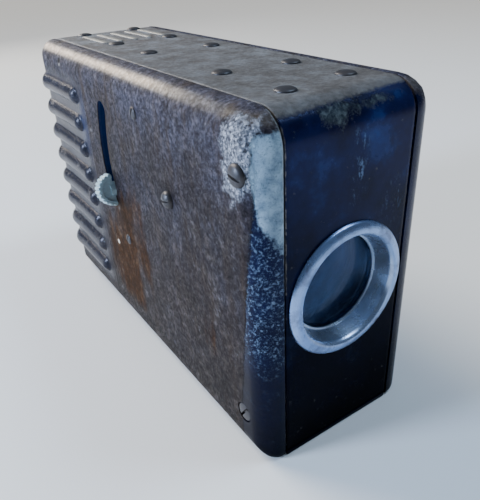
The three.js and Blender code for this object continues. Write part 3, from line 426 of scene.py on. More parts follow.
lensCentre = centreOf("lens_bezel")
ringMetal = {
    # the blue in the face and bore colours is a painted blue sky reflection on the aluminium
    "face": (0.30, 0.46, 0.82), "bore": (0.40, 0.50, 0.66), "grime": (0.100, 0.092, 0.140),
    "faceFrom": (16.5 * mm, 18.5 * mm), "tarnish": 0.95, "rough": 0.20, "metal": 0.85, "relief": 0.05 * mm,
}


def ringMetalFinish():
    # turned aluminium: fine rings by the distance from the lens axis, tarnish in soft patches on the outer face; its
    # blue tint is a painted blue sky reflection
    material, tree, shader = newMaterial("turnedAluminium")
    point = put(tree, "ShaderNodeMapping", {
        "Vector": objectPoint(tree), "Location": (0, 0, -lensCentre.z)}).outputs["Vector"]
    parts = put(tree, "ShaderNodeSeparateXYZ", {"Vector": point}).outputs
    squares = [math2(tree, "MULTIPLY", parts[name], parts[name]) for name in "XZ"]
    radius = math2(tree, "SQRT", math2(tree, "ADD", squares[0], squares[1]))
    ringPoint = put(tree, "ShaderNodeCombineXYZ", {"X": radius, "Y": parts["Y"]}).outputs["Vector"]
    rings = noise(tree, ringPoint, 3200, 3, 0.7)
    blotch = noise(tree, point, 150, 6, 0.65, 0.5)
    specks = noise(tree, point, 900, 4, 0.75)
    outward = spread(tree, radius, *ringMetal["faceFrom"])
    bore, face = (
        ramp(tree, rings, (0.3, tuple(value * 0.82 for value in ringMetal[part])), (0.7, ringMetal[part]))
        for part in ("bore", "face"))
    colour = blendColours(tree, outward, bore, face)
    tarnish = math2(tree, "MULTIPLY", ramp(tree, blotch, (0.45, 0.0), (0.75, 1.0)), ringMetal["tarnish"])
    tarnish = math2(tree, "MULTIPLY", tarnish, spread(tree, outward, 0, 1, 0.35, 1.0))
    colour = blendColours(tree, tarnish, colour, ringMetal["grime"])
    speckled = math2(tree, "MULTIPLY", ramp(tree, specks, (0.68, 0.0), (0.76, 1.0)), 0.5)
    colour = blendColours(tree, speckled, colour, ringMetal["grime"])
    relief = math2(tree, "ADD", rings, math2(tree, "MULTIPLY", specks, 0.6))
    feed(tree, shader, colour=colour, metal=ringMetal["metal"], normal=bumpOf(tree, relief, ringMetal["relief"], 0.5),
         rough=spread(tree, blotch, 0.3, 0.75, ringMetal["rough"], ringMetal["rough"] + 0.16))
    return material


plainMetals = {
    "nickel": {"name": "wornNickel", "tint": (0.48, 0.66, 0.75), "rough": 0.30, "metal": 0.35,
               "stain": (0.20, 0.32, 0.38), "amount": 0.35, "bump": 0.2},
    "dark_steel": {"name": "oxidisedSteel", "tint": (0.058, 0.057, 0.066), "rough": 0.34, "metal": 0.5,
                   "stain": (0.045, 0.030, 0.022), "amount": 0.5},
    "plate_steel": {"name": "zincPlate", "tint": (0.52, 0.53, 0.52), "rough": 0.36, "metal": 1.0,
                    "stain": (0.3, 0.27, 0.22), "amount": 0.4, "grain": (1, 0.15, 1)},
    "gear_brass": {"name": "gearBrass", "tint": (0.66, 0.48, 0.20), "rough": 0.3, "metal": 1.0,
                   "stain": (0.28, 0.18, 0.08), "amount": 0.45},
    "spring_steel": {"name": "springSteel", "tint": (0.34, 0.35, 0.40), "rough": 0.28, "metal": 1.0,
                     "stain": (0.12, 0.1, 0.1), "amount": 0.3},
    "black_paint": {"name": "mattBlack", "tint": (0.022, 0.022, 0.024), "rough": 0.62, "metal": 0.0,
                    "stain": (0.06, 0.055, 0.05), "amount": 0.35},
}


def plainMetalFinish(name, tint, rough, metal, stain, amount, grain=(1, 1, 1), bump=0.5):
    # rolled, cast or painted metal: a grain drawn out along the rolling, soft stains over it
    material, tree, shader = newMaterial(name)
    rolled = noise(tree, objectPoint(tree, grain), 700, 5, 0.7)
    blotch = noise(tree, objectPoint(tree), 120, 6, 0.65, 0.5)
    colour = ramp(tree, rolled, (0.3, tuple(value * 0.72 for value in tint)), (0.7, tint))
    stained = math2(tree, "MULTIPLY", ramp(tree, blotch, (0.45, 0.0), (0.72, 1.0)), amount)
    colour = blendColours(tree, stained, colour, stain)
    feed(tree, shader, colour=colour, metal=metal, rough=spread(tree, blotch, 0.3, 0.75, rough, rough + 0.2),
         normal=bumpOf(tree, math2(tree, "ADD", rolled, blotch), 0.12 * mm, bump))
    return material


frontGlass = {
    "tint": (0.40, 0.60, 0.95), "sheen": (0.25, 0.45, 1.0), "dust": (0.040, 0.095, 0.215, 1),
    "haze": 0.45, "slant": -28, "radius": 16.4 * mm, "dome": 0.7 * mm, "behind": 1.0 * mm, "thickness": 3.5 * mm,
}


def hazedGlassFinish():
    # clear glass under a film of dust: slanting smears plus fine scuffs say how much of the film is seen
    material, tree, shader = newMaterial("hazedGlass")
    smear = noise(tree, stretched(tree, (0, math.radians(frontGlass["slant"]), 0), (1, 1, 0.30)), 260, 9, 0.80, 0.4)
    scuff = noise(tree, objectPoint(tree), 700, 9, 0.88)
    smears = math2(tree, "MULTIPLY", ramp(tree, smear, (0.46, 0.04), (0.60, 1.0)), frontGlass["haze"])
    scuffs = math2(tree, "MULTIPLY", ramp(tree, scuff, (0.55, 0.0), (0.62, 1.0)), frontGlass["haze"])
    film = math2(tree, "ADD", smears, scuffs, True)
    shader.inputs["Transmission Weight"].default_value = 1.0
    shader.inputs["IOR"].default_value = 1.5
    feed(tree, shader, colour=frontGlass["tint"], sheen=frontGlass["sheen"],
         rough=spread(tree, smear, 0.3, 0.8, 0.02, 0.14))
    dust = put(tree, "ShaderNodeBsdfDiffuse", {"Color": frontGlass["dust"]})
    mixed = put(tree, "ShaderNodeMixShader", {0: film, 1: shader.outputs[0], 2: dust.outputs[0]})
    tree.links.new(mixed.outputs[0], tree.nodes["Material Output"].inputs["Surface"])
    return material


finishes = {"side_enamel": sideEnamelFinish(), "wrap_enamel": wrapEnamelFinish(), "bright_metal": ringMetalFinish()}
for slotName, settings in plainMetals.items():
    finishes[slotName] = plainMetalFinish(**settings)
finishes["lens_glass"] = hazedGlassFinish()
print("finishes made")


def pieceFrom(name, points, faces, slotName, body, *nodes, smooth=32):
    # makes a mesh object from arrays, merges doubles, turns faces outwards and ties it to the frame
    mesh = bpy.data.meshes.new(name)
    faces = faces.tolist() if isinstance(faces, np.ndarray) else faces
    mesh.from_pydata(np.asarray(points).reshape(-1, 3).tolist(), [], faces)
    piece = bpy.data.objects.new(name, mesh)
    bpy.context.scene.collection.objects.link(piece)
    tidyMesh(mesh)
    return dress(piece, slotName, body, *nodes, smooth=smooth)


def tidyMesh(mesh, merge=1e-6):
    # points nearer than the merge distance become one, faces without area go, the rest turn outwards
    work = bmesh.new()
    work.from_mesh(mesh)
    bmesh.ops.remove_doubles(work, verts=work.verts, dist=merge)
    bmesh.ops.dissolve_degenerate(work, dist=1e-7, edges=work.edges)
    bmesh.ops.recalc_face_normals(work, faces=work.faces)
    work.to_mesh(mesh)
    work.free()


def soften(piece, angle=35):
    # smooth shading, with edges that turn by more than the angle left sharp
    piece.data.shade_smooth()
    piece.data.set_sharp_from_angle(angle=math.radians(angle))


def dress(piece, slotName, body, *nodes, smooth=32):
    # gives a piece its finish and its shading, and says which body it rides on and which nodes it replaces
    piece.data.materials.clear()
    piece.data.materials.append(finishes[slotName])
    soften(piece, smooth)
    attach(piece, body)
    if nodes:
        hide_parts(*nodes)
    return piece


def gridFaces(rows, columns, around=False):
    # quads of a grid whose points are numbered row by row; around joins the last column to the first
    steps = columns if around else columns - 1
    row, column = np.meshgrid(np.arange(rows - 1), np.arange(steps), indexing="ij")
    right = (column + 1) % columns
    here, above = row * columns, (row + 1) * columns
    corners = [here + column, here + right, above + right, above + column]
    return np.stack(corners, -1).reshape(-1, 4)


def turnedPoints(profile, centre, axis, segments):
    # a profile of radius and distance along the axis, carried round the axis through centre
    profile = np.asarray(profile, float)
    angle = np.linspace(0, 2 * math.pi, segments, endpoint=False)
    first = profile[:, :1] * np.cos(angle)
    second = profile[:, :1] * np.sin(angle)
    length = np.repeat(profile[:, 1:2], segments, 1)
    order = {"x": (length, first, second), "y": (first, length, second), "z": (first, second, length)}[axis]
    return np.stack(order, -1) + np.array(centre, float)


def roundedProfile(corners, steps=5):
    # a profile through corners given as radius, distance and rounding, each corner an arc-like curve
    corners = np.array(corners, float)
    points = []
    for i, (r, t, rounding) in enumerate(corners):
        here = np.array((r, t))
        if rounding == 0 or i in (0, len(corners) - 1):
            points.append(here[None])
            continue
        before = corners[i - 1, :2] - here
        after = corners[i + 1, :2] - here
        start = here + before / np.linalg.norm(before) * min(rounding, np.linalg.norm(before) / 2)
        end = here + after / np.linalg.norm(after) * min(rounding, np.linalg.norm(after) / 2)
        s = np.linspace(0, 1, steps + 1)[:, None]
        points.append((1 - s) ** 2 * start + 2 * s * (1 - s) * here + s ** 2 * end)
    return np.concatenate(points)


def turnedPiece(name, corners, centre, axis, slotName, body, *nodes, segments=96, steps=5):
    # a lathe piece: the rounded profile through the corners, carried round the axis
    profile = roundedProfile(corners, steps)
    points = turnedPoints(profile, centre, axis, segments)
    return pieceFrom(name, points, gridFaces(len(profile), segments, True), slotName, body, *nodes)


def carve(piece, *cutters):
    # takes the cutters away from a piece for good
    for cutter in cutters:
        modifier = piece.modifiers.new("carve", "BOOLEAN")
        modifier.operation = "DIFFERENCE"
        modifier.solver = "EXACT"
        modifier.object = cutter
    settle(piece)
    for cutter in cutters:
        bpy.data.objects.remove(cutter)
    return piece


def settle(piece):
    # replaces the mesh by what its modifiers make
    bpy.context.view_layer.update()
    graph = bpy.context.evaluated_depsgraph_get()
    mesh = bpy.data.meshes.new_from_object(piece.evaluated_get(graph))
    piece.modifiers.clear()
    piece.data = mesh


def blockCutter(low, high):
    # a unit cube scaled to the box between two corners and moved to its middle
    mesh = bpy.data.meshes.new("cutter")
    work = bmesh.new()
    bmesh.ops.create_cube(work, size=1)
    low, high = Vector(low), Vector(high)
    bmesh.ops.scale(work, vec=high - low, verts=work.verts)
    bmesh.ops.translate(work, vec=(low + high) / 2, verts=work.verts)
    work.to_mesh(mesh)
    work.free()
    cutter = bpy.data.objects.new("cutter", mesh)
    bpy.context.scene.collection.objects.link(cutter)
    return cutter


def prismCutter(outline, axis, start, end):
    # a straight prism over a closed outline; axis x takes (y, z) points and axis y takes (x, z) points
    outline = np.asarray(outline, float)
    count = len(outline)
    ends = []
    for place in (start, end):
        column = np.full((count, 1), place)
        order = (column, outline[:, :1], outline[:, 1:]) if axis == "x" else (outline[:, :1], column, outline[:, 1:])
        ends.append(np.hstack(order))
    points = np.vstack(ends)
    here = np.arange(count)
    ahead = (here + 1) % count
    sides = np.stack([here, ahead, ahead + count, here + count], -1).tolist()
    faces = sides + [here[::-1].tolist(), (here + count).tolist()]
    mesh = bpy.data.meshes.new("cutter")
    mesh.from_pydata(points.tolist(), [], faces)
    tidyMesh(mesh)
    cutter = bpy.data.objects.new("cutter", mesh)
    bpy.context.scene.collection.objects.link(cutter)
    return cutter


def circle(centre, radius, count=48):
    # centre plus radius times the cosine and the sine, all round
    angle = np.linspace(0, 2 * math.pi, count, endpoint=False)
    return np.stack([centre[0] + radius * np.cos(angle), centre[1] + radius * np.sin(angle)], -1)


def store(piece, name, values):
    # keeps a level from 0 to 1 on each point, for a finish to read
    attribute = piece.data.attributes.new(name, "FLOAT", "POINT")
    attribute.data.foreach_set("value", np.clip(values, 0, 1).astype(np.float32))


def verticesOf(piece):
    # the piece's points as rows of x, y and z
    flat = np.empty(len(piece.data.vertices) * 3, np.float32)
    piece.data.vertices.foreach_get("co", flat)
    return flat.reshape(-1, 3).astype(float)


def ease(value, low, high):
    # 0 below low, 1 above high, smooth between
    t = np.clip((value - low) / (high - low), 0, 1)
    return t * t * (3 - 2 * t)


def waves(a, b, seed, size):
    # gentle unevenness: a sum of a few slow sine waves over two coordinates
    rng = np.random.default_rng(seed)
    total = np.zeros_like(a)
    for _ in range(7):
        direction = rng.uniform(0, 2 * math.pi)
        length = size * rng.uniform(0.6, 1.8)
        phase = rng.uniform(0, 6.3)
        total += np.sin((a * math.cos(direction) + b * math.sin(direction)) * 2 * math.pi / length + phase)
    return total / 7


ribs = {
    "count": 8, "pitch": 11 * mm, "first": 16.5 * mm,
    "halfWidth": 3.5 * mm, "rise": 2.2 * mm, "crest": -0.12,
    "front": 119.5 * mm, "endRound": 3.4 * mm,
}
slot = {
    "reach": 50.4 * mm, "halfWidth": 3.5 * mm, "low": -14.5, "high": 20.9,
    "collar": 2.0 * mm, "collarEnd": -27.6 * mm,
}
cover = {"rings": 14, "sag": 0.16 * mm, "recess": 0.28 * mm, "cornerReach": 9 * mm, "screwHole": 3.35 * mm,
         "pivotHole": 1.6 * mm, "latchHole": 2.9 * mm}
pivot = np.array(joints["lever_swing"]["pos_m"][1:])


def ribHeight(y, z):
    # ribs lie along Y; each rises slowly from above to its crest and drops quickly below it
    number = np.clip(np.round((z - ribs["first"]) / ribs["pitch"]), 0, ribs["count"] - 1)
    across = (z - ribs["first"] - number * ribs["pitch"]) / ribs["halfWidth"] - ribs["crest"]
    upper = np.clip(across / (1 - ribs["crest"]), 0, None)
    lower = np.clip(-across / (0.95 + ribs["crest"]), 0, None)
    end = np.clip((frontY + ribs["front"] + ribs["endRound"] - y) / ribs["endRound"], 0, None)
    q = np.sqrt(np.where(across > 0, upper, lower) ** 2 + end ** 2)
    q = np.clip(q, 0, 1)
    return ribs["rise"] * np.where(across > 0, (1 - q ** 2) ** 0.8, (1 - q ** 2) ** 0.55)


def rimPoints(ys, zs):
    # pairs of loops: the border of the flat side, and the outline that each of its points runs out to
    fillet = housing["edgeFillet"]
    corners = [("bottomRadius", -1, -1), ("bottomRadius", 1, -1), ("rearTopRadius", 1, 1), ("frontTopRadius", -1, 1)]
    inner = np.concatenate([
        np.stack([ys, np.full_like(ys, zs[0])], -1)[:-1],
        np.stack([np.full_like(zs, ys[-1]), zs], -1)[:-1],
        np.stack([ys, np.full_like(ys, zs[-1])], -1)[:0:-1],
        np.stack([np.full_like(zs, ys[0]), zs], -1)[:0:-1],
    ])
    outer = np.empty_like(inner)
    reach = cover["cornerReach"]
    middleY, middleZ = (ys[0] + ys[-1]) / 2, (zs[0] + zs[-1]) / 2
    for radiusName, sideY, sideZ in corners:
        radius = housing[radiusName]
        own = ((inner[:, 0] - middleY) * sideY >= 0) & ((inner[:, 1] - middleZ) * sideZ >= 0)
        cornerPoint = np.array([ys[-1] if sideY > 0 else ys[0], zs[-1] if sideZ > 0 else zs[0]])
        p = inner[own]
        alongY = np.abs(p[:, 1] - cornerPoint[1]) < 1e-9
        s = np.where(alongY, np.abs(p[:, 0] - cornerPoint[0]), np.abs(p[:, 1] - cornerPoint[1]))
        arc = math.pi * radius / 4
        total = reach + fillet - radius + arc
        run = np.where(s < reach, s / reach * total, total + s - reach)
        angle = np.minimum(run, arc) / radius
        beyond = np.maximum(run - arc, 0)
        # measured from the outline's square corner: how far back along the side, and how far in from it
        back = np.where(run < arc, radius - radius * np.sin(math.pi / 4 - angle), radius + beyond)
        into = np.where(run < arc, radius - radius * np.cos(math.pi / 4 - angle), 0)
        square = cornerPoint + fillet * np.array([sideY, sideZ])
        outY = square[0] - sideY * np.where(alongY, back, into)
        outZ = square[1] - sideZ * np.where(alongY, into, back)
        outer[own] = np.stack([outY, outZ], -1)
    return inner, outer


def coverSurface(side):
    # the flat side is a grid; from its border, quarter-round rings run out to the outline and the flange
    fillet = housing["edgeFillet"]
    ribStart = frontY + ribs["front"]
    ys = np.concatenate([
        np.linspace(frontY + fillet, ribStart - 9 * mm, 64)[:-1],
        np.linspace(ribStart - 9 * mm, ribStart + 6 * mm, 42)[:-1],
        np.linspace(ribStart + 6 * mm, rearY - fillet, 22),
    ])
    zs = np.linspace(fillet, topZ - fillet, 196)
    gridY, gridZ = np.meshgrid(ys, zs, indexing="ij")
    fromEnds = np.minimum(gridY - ys[0], ys[-1] - gridY)
    fromEdges = np.minimum(gridZ - zs[0], zs[-1] - gridZ)
    sag = cover["sag"] * waves(gridY, gridZ, 5, 0.06) * ease(np.minimum(fromEnds, fromEdges), 0, 10 * mm)
    height = ribHeight(gridY, gridZ)
    recess = cover["recess"] * ease(gridY - frontY, ribs["front"] - 7.5 * mm, ribs["front"] - 5.2 * mm)
    recess = recess * ease(fromEdges, 0, 5 * mm) * ease(ys[-1] - gridY, 0, 8 * mm)
    flat = np.stack([-(housing["halfWidth"] + height) + sag + recess, gridY, gridZ], -1)
    number = np.arange(flat.shape[0] * flat.shape[1]).reshape(flat.shape[:2])
    border = np.concatenate([number[:-1, 0], number[-1, :-1], number[:0:-1, -1], number[0, :0:-1]])
    inner, outer = rimPoints(ys, zs)
    turn = np.linspace(0, math.pi / 2, cover["rings"] + 1)[1:, None, None]
    way = outer - inner
    length = np.linalg.norm(way, axis=1, keepdims=True)
    place = inner + way * np.sin(turn)
    depth = np.broadcast_to(housing["halfWidth"] - fillet + fillet * np.cos(turn[..., 0]), place.shape[:2])
    lift = ribHeight(place[..., 0], place[..., 1]) * ease(-turn[..., 0], -math.radians(89), -math.radians(66))
    unit = way / length
    place = place + unit * (lift * np.sin(turn[..., 0]))[..., None]
    depth = depth + lift * np.cos(turn[..., 0])
    rings = np.concatenate([-depth[..., None], place], -1)
    flange = rings[-1].copy()
    flange[:, 0] = -seamX
    rings = np.concatenate([rings, flange[None]], 0)
    count = len(border)
    points = np.vstack([flat.reshape(-1, 3), rings.reshape(-1, 3)])
    start = flat.shape[0] * flat.shape[1]
    loops = np.vstack([border[None], start + np.arange(len(rings) * count).reshape(len(rings), count)])
    ahead = np.roll(loops, -1, axis=1)
    skirt = np.stack([loops[:-1], ahead[:-1], ahead[1:], loops[1:]], -1).reshape(-1, 4)
    faces = np.vstack([gridFaces(*flat.shape[:2]), skirt])
    if side > 0:
        points[:, 0] *= -1
    return points, faces


coverWear = {
    "rust": (  # depth behind the front and its width, from and up to which height, how soft, how strong
        (89, 10, 4, 72, 16, 0.82), (103, 7, 6, 60, 22, 0.62), (74, 8, 22, 80, 20, 0.60)),
    "rustSpot": {"depth": 30 * mm, "width": 8 * mm, "height": 34 * mm, "tall": 12 * mm, "strength": 0.5},
    "scuffed": {"middle": 24 * mm, "width": 26 * mm, "lean": 0.75, "least": 0.25},
    "strip": {"narrow": 1.6 * mm, "wide": 11.5 * mm, "atTop": 2.6 * mm, "top": 93 * mm, "widening": 0.118},
    "pale": {"from": 67 * mm, "full": 84 * mm, "lean": 4, "strength": 0.92},
    "bare": {"depth": 8.0 * mm, "width": 6.4 * mm, "height": 99.5 * mm, "tall": 9.5 * mm},
    # worn: the top edge's wear, which also carries a painted highlight; rim: a painted highlight on the front edge by
    # the seam
    "worn": 0.85, "rim": 0.8,
}


def coverMasks(piece, side):
    # where the enamel is rusty, crusted bare, worn pale, dark and chipped, and where painted highlights lie on the top
    # edge and the front rim, from the vertex positions
    x, y, z = verticesOf(piece).T
    depth = y - frontY
    out = np.abs(x)
    left = 1.0 if side < 0 else 0.0
    onSide = ease(out, housing["halfWidth"] - 4 * mm, housing["halfWidth"] - 1 * mm)

    def column(centre, width):
        # a bell over the depth
        return np.exp(-((depth - centre) / width) ** 2)

    def heights(low, high, soft):
        # 1 between two heights, with soft ends
        return ease(z, low, low + soft) * (1 - ease(z, high - soft, high))

    rust = sum(
        strength * column(place * mm, width * mm) * heights(low * mm, high * mm, soft * mm)
        for place, width, low, high, soft, strength in coverWear["rust"])
    one = coverWear["rustSpot"]
    rust += one["strength"] * column(one["depth"], one["width"]) * np.exp(-((z - one["height"]) / one["tall"]) ** 2)
    store(piece, "rust", rust * onSide)
    one = coverWear["scuffed"]
    slant = depth + one["lean"] * (z - 60 * mm)
    scuffed = np.exp(-((slant - one["middle"]) / one["width"]) ** 2)
    store(piece, "scuffed", one["least"] + (1 - one["least"]) * scuffed)
    store(piece, "calm", ease(depth, 111 * mm, 121 * mm) * heights(6 * mm, 103 * mm, 8 * mm))
    one = coverWear["strip"]
    strip = np.clip(one["atTop"] + (one["top"] - z) * one["widening"], one["narrow"], one["wide"])
    inStrip = 1 - ease(depth, strip - 2.2 * mm, strip + 2.0 * mm)
    store(piece, "navy", inStrip * (1 - left * ease(z, 88 * mm, 104 * mm)))
    store(piece, "chipped", left * (0.66 * heights(30 * mm, 94 * mm, 20 * mm) + 0.12))
    one = coverWear["pale"]
    pale = (1 - ease(depth, 2.2 * mm, 5.2 * mm)) * (1 - ease(z, 103 * mm, 107.5 * mm))
    pale *= ease(z - one["lean"] * depth, one["from"], one["full"])
    store(piece, "pale", left * one["strength"] * pale)
    one = coverWear["bare"]
    bare = np.exp(-((depth - one["depth"]) / one["width"]) ** 4 - ((z - one["height"]) / one["tall"]) ** 4)
    bare += 0.5 * np.exp(-((depth - 9 * mm) / (3 * mm)) ** 2 - ((z - 90 * mm) / (6 * mm)) ** 2)
    store(piece, "bare", left * 0.98 * bare * ease(depth, 1.2 * mm, 3.6 * mm))
    # painted highlight: the cover's edge by the front seam made light, more so towards the top
    nearFlange = 1 - ease(out, 22.6 * mm, 22.95 * mm)
    rim = nearFlange * (0.25 + 0.75 * ease(z, 60 * mm, 88 * mm)) * (1 - ease(depth, 2 * mm, 12 * mm))
    store(piece, "rim", left * coverWear["rim"] * rim)
    # the top edge's wear, which is also a painted warm highlight: it grows towards the rear, where the light catches
    # the fillet
    slope = housing["halfWidth"] - out
    ridge = ease(z, topZ - 4.0 * mm, topZ - 2.2 * mm) * (1 - ease(z, topZ - 1.5 * mm, topZ - 0.4 * mm))
    fade = 0.25 + 0.75 * ease(depth, 20 * mm, 62 * mm)
    store(piece, "worn", coverWear["worn"] * ridge * ease(slope, 0.2 * mm, 1.5 * mm) * fade)


def arcSlotOutline(grow=0.0):
    # the slot's edge: two arcs about the pivot joined by half circles, drawn a distance outside the slot
    low, high = math.radians(slot["low"]), math.radians(slot["high"])
    half, reach = slot["halfWidth"] + grow, slot["reach"]

    def arc(radius, centre, a, b, count):
        # centre plus radius times cosine and sine, from angle a to angle b
        angle = np.linspace(a, b, count)
        return np.stack([centre[0] + radius * np.cos(angle), centre[1] + radius * np.sin(angle)], -1)

    def onReach(angle):
        # the middle of the slot at an angle about the pivot
        return pivot + reach * np.array([math.cos(angle), math.sin(angle)])

    return np.vstack([
        arc(reach + half, pivot, low, high, 40)[:-1],
        arc(half, onReach(high), high, high + math.pi, 14)[:-1],
        arc(reach - half, pivot, high, low, 40)[:-1],
        arc(half, onReach(low), low + math.pi, low + 2 * math.pi, 14)[:-1],
    ])


def sideCover(side):
    # the surface is thickened inwards to a sheet, then the openings are cut straight through along X
    left = side < 0
    name, node, body = (
        ("leftSideCover", "left_cover", "body") if left else ("rightSideCover", "right_cover", "loading_cover"))
    points, faces = coverSurface(side)
    piece = pieceFrom(name, points, faces, "side_enamel", body, node)
    wall = piece.modifiers.new("wall", "SOLIDIFY")
    wall.thickness = housing["wall"]
    wall.offset = -1
    wall.use_even_offset = False
    settle(piece)
    ends = sorted((side * (housing["halfWidth"] + 4 * mm), side * (housing["halfWidth"] - 5 * mm)))
    outlines = [arcSlotOutline()] if left else []
    holes = {"front_lower_screw": "screwHole", "lever_pivot_screw": "pivotHole"} if left else {"latch_knob": "latchHole"}
    for hole, size in holes.items():
        place = centreOf(hole)
        outlines.append(circle((place.y, place.z), cover[size]))
    carve(piece, *(prismCutter(outline, "x", *ends) for outline in outlines))
    soften(piece)
    coverMasks(piece, side)


def slotCollar():
    # a low wall round the slot on the inside of the left cover: a ring between two outlines, closed all round
    outlines = [arcSlotOutline(0.02 * mm), arcSlotOutline(slot["collar"])]
    near, far = -housing["halfWidth"] + housing["wall"] - 0.1 * mm, slot["collarEnd"]
    order = ((0, near), (1, near), (1, far), (0, far), (0, near))
    points = np.stack([np.column_stack([np.full(len(outlines[i]), place), outlines[i]]) for i, place in order])
    piece = pieceFrom("slotCollar", points, gridFaces(len(order), points.shape[1], True), "side_enamel", "body")
    store(piece, "navy", np.ones(len(piece.data.vertices)))


sideCover(-1)
sideCover(1)
slotCollar()
print("side covers made")


wrap = {
    "wall": 1.0 * mm, "edgeRoll": 0.45 * mm, "lensHole": 19.3 * mm, "uneven": 0.13 * mm, "highest": 0.05 * mm,
    "dullFrom": (1.02, 1.42), "dullLean": 8.0,  # in shares of the front bend, and per metre of width
    "edgeWear": 0.36, "patch": 0.85,
}
bars = {
    "count": 5, "pitch": 6.4 * mm, "width": 2.4 * mm, "length": 26 * mm, "rise": 0.75 * mm,
    "middle": 138 * mm,  # behind the front
}


def wrapCover():
    # a strip whose middle line climbs the front, bends over the top and drops down the rear
    radiusFront, radiusRear = housing["frontTopRadius"], housing["rearTopRadius"]
    bottom = wrapLow.z
    straights = [
        np.stack([np.full(90, frontY), np.linspace(bottom, topZ - radiusFront, 90)], -1)[:-1],
        np.stack([np.linspace(frontY + radiusFront, rearY - radiusRear, 150), np.full(150, topZ)], -1)[:-1],
        np.stack([np.full(70, rearY), np.linspace(topZ - radiusRear, bottom, 70)], -1),
    ]
    turnFront = np.linspace(math.pi, math.pi / 2, 25)[:-1]
    turnRear = np.linspace(math.pi / 2, 0, 15)[:-1]
    bendFront = np.stack([frontY + radiusFront + radiusFront * np.cos(turnFront),
                          topZ - radiusFront + radiusFront * np.sin(turnFront)], -1)
    bendRear = np.stack([rearY - radiusRear + radiusRear * np.cos(turnRear),
                         topZ - radiusRear + radiusRear * np.sin(turnRear)], -1)
    line = np.vstack([straights[0], bendFront, straights[1], bendRear, straights[2]])
    step = np.gradient(line, axis=0)
    outward = np.stack([-step[:, 1], step[:, 0]], -1) / np.linalg.norm(step, axis=1, keepdims=True)
    half = wrapHigh.x
    edge = wrap["edgeRoll"]
    across = np.concatenate([[-half, -half + 0.12 * edge, -half + 0.45 * edge],
                             np.linspace(-half + edge, half - edge, 52),
                             [half - 0.45 * edge, half - 0.12 * edge, half]])
    roll = np.clip((np.abs(across) - (half - edge)) / edge, 0, 1)
    drop = edge * (1 - np.sqrt(1 - roll ** 2)) * 0.8
    run = np.cumsum(np.linalg.norm(step, axis=1))
    uneven = wrap["uneven"] * waves(*np.meshgrid(run, across, indexing="ij"), 11, 0.07)
    uneven = np.minimum(uneven, wrap["highest"]) * (1 - roll)
    shift = -drop[None, :] + uneven - wrap["highest"]
    place = line[:, None, :] + outward[:, None, :] * shift[..., None]
    points = np.concatenate([np.broadcast_to(across[None, :, None], (*place.shape[:2], 1)), place], -1)
    piece = pieceFrom("wrapCover", points, gridFaces(*points.shape[:2]), "wrap_enamel", "body", "wrap_cover")
    wall = piece.modifiers.new("wall", "SOLIDIFY")
    wall.thickness = wrap["wall"]
    wall.offset = -1
    settle(piece)
    hole = prismCutter(circle((0, lensCentre.z), wrap["lensHole"], 96), "y", frontY - 3 * mm, frontY + 4 * mm)
    carve(piece, hole)
    soften(piece)
    x, y, z = verticesOf(piece).T
    depth = y - frontY
    over = (depth + (z - (topZ - radiusFront))) / radiusFront
    dull = ease(over - wrap["dullLean"] * x, *wrap["dullFrom"])
    store(piece, "top", dull * (1 - ease(rearY - y, 2 * mm, 0)))
    patch = np.exp(-((x + 5 * mm) / (7 * mm)) ** 2 - ((over - 0.72) / 0.5) ** 2)
    patch += 0.75 * np.exp(-((x - 9 * mm) / (6 * mm)) ** 2 - ((over - 0.85) / 0.25) ** 2)
    store(piece, "patch", wrap["patch"] * patch)
    edgeWear = ease(np.abs(x), half - 0.5 * mm, half - 0.1 * mm) * wrap["edgeWear"]
    store(piece, "worn", edgeWear * ease(z, 30 * mm, 80 * mm) * (1 - ease(over, 0.6, 1.0)))
    trail = np.exp(-((x - 2.5 * mm) / (2.2 * mm)) ** 2) * ease(z, 78 * mm, 84 * mm) * (1 - ease(z, 99 * mm, 103 * mm))
    trail += 0.5 * np.exp(-((x - 16 * mm) / (4 * mm)) ** 2 - ((z - 78 * mm) / (6 * mm)) ** 2)
    store(piece, "runs", trail * (depth < 9 * mm))


def topBars():
    # plain raised bars: each is a rounded ridge, one profile carried along Y with soft ends
    along = np.linspace(-1, 1, 40)
    turn = np.linspace(-math.pi / 2, math.pi / 2, 13)
    taper = np.clip(1 - np.abs(along) ** 14, 0.02, 1) ** 0.5
    for i in range(bars["count"]):
        x = (i - (bars["count"] - 1) / 2) * bars["pitch"]
        side = bars["width"] / 2 * np.sign(np.sin(turn)) * np.abs(np.sin(turn)) ** 0.55
        lift = bars["rise"] * np.abs(np.cos(turn)) ** 0.45
        ridgeX = x + side[None, :] * taper[:, None]
        ridgeZ = topZ - 0.12 * mm + lift[None, :] * taper[:, None]
        ridgeY = frontY + bars["middle"] + np.broadcast_to(along[:, None], ridgeX.shape) * bars["length"] / 2
        upper = np.stack([ridgeX, ridgeY, ridgeZ], -1)
        floor = upper[:, ::-1].copy()
        floor[..., 2] = topZ - 0.45 * mm
        ring = np.concatenate([upper, floor], 1)
        count = ring.shape[1]
        faces = gridFaces(len(along), count, True).tolist()
        faces += [list(range(count)), list(range((len(along) - 1) * count, len(along) * count))]
        piece = pieceFrom(f"topBar{i + 1}", ring, faces, "wrap_enamel", "body")
        height = verticesOf(piece)[:, 2]
        store(piece, "top", np.ones_like(height))
        store(piece, "patch", np.zeros_like(height))
        store(piece, "worn", ease(height, topZ + 0.1 * mm, topZ + 0.5 * mm) * 0.75)


def basePlate():
    # a flat plate with softly rounded edges that closes the bottom
    low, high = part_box("base_plate")
    piece = blockCutter(low, high)
    piece.name = piece.data.name = "basePlate"
    edge = piece.modifiers.new("edge", "BEVEL")
    edge.width = 0.5 * mm
    edge.segments = 3
    settle(piece)
    dress(piece, "side_enamel", "body", "base_plate")
    store(piece, "navy", np.ones(len(piece.data.vertices)))


wrapCover()
topBars()
basePlate()
print("wrap cover made")


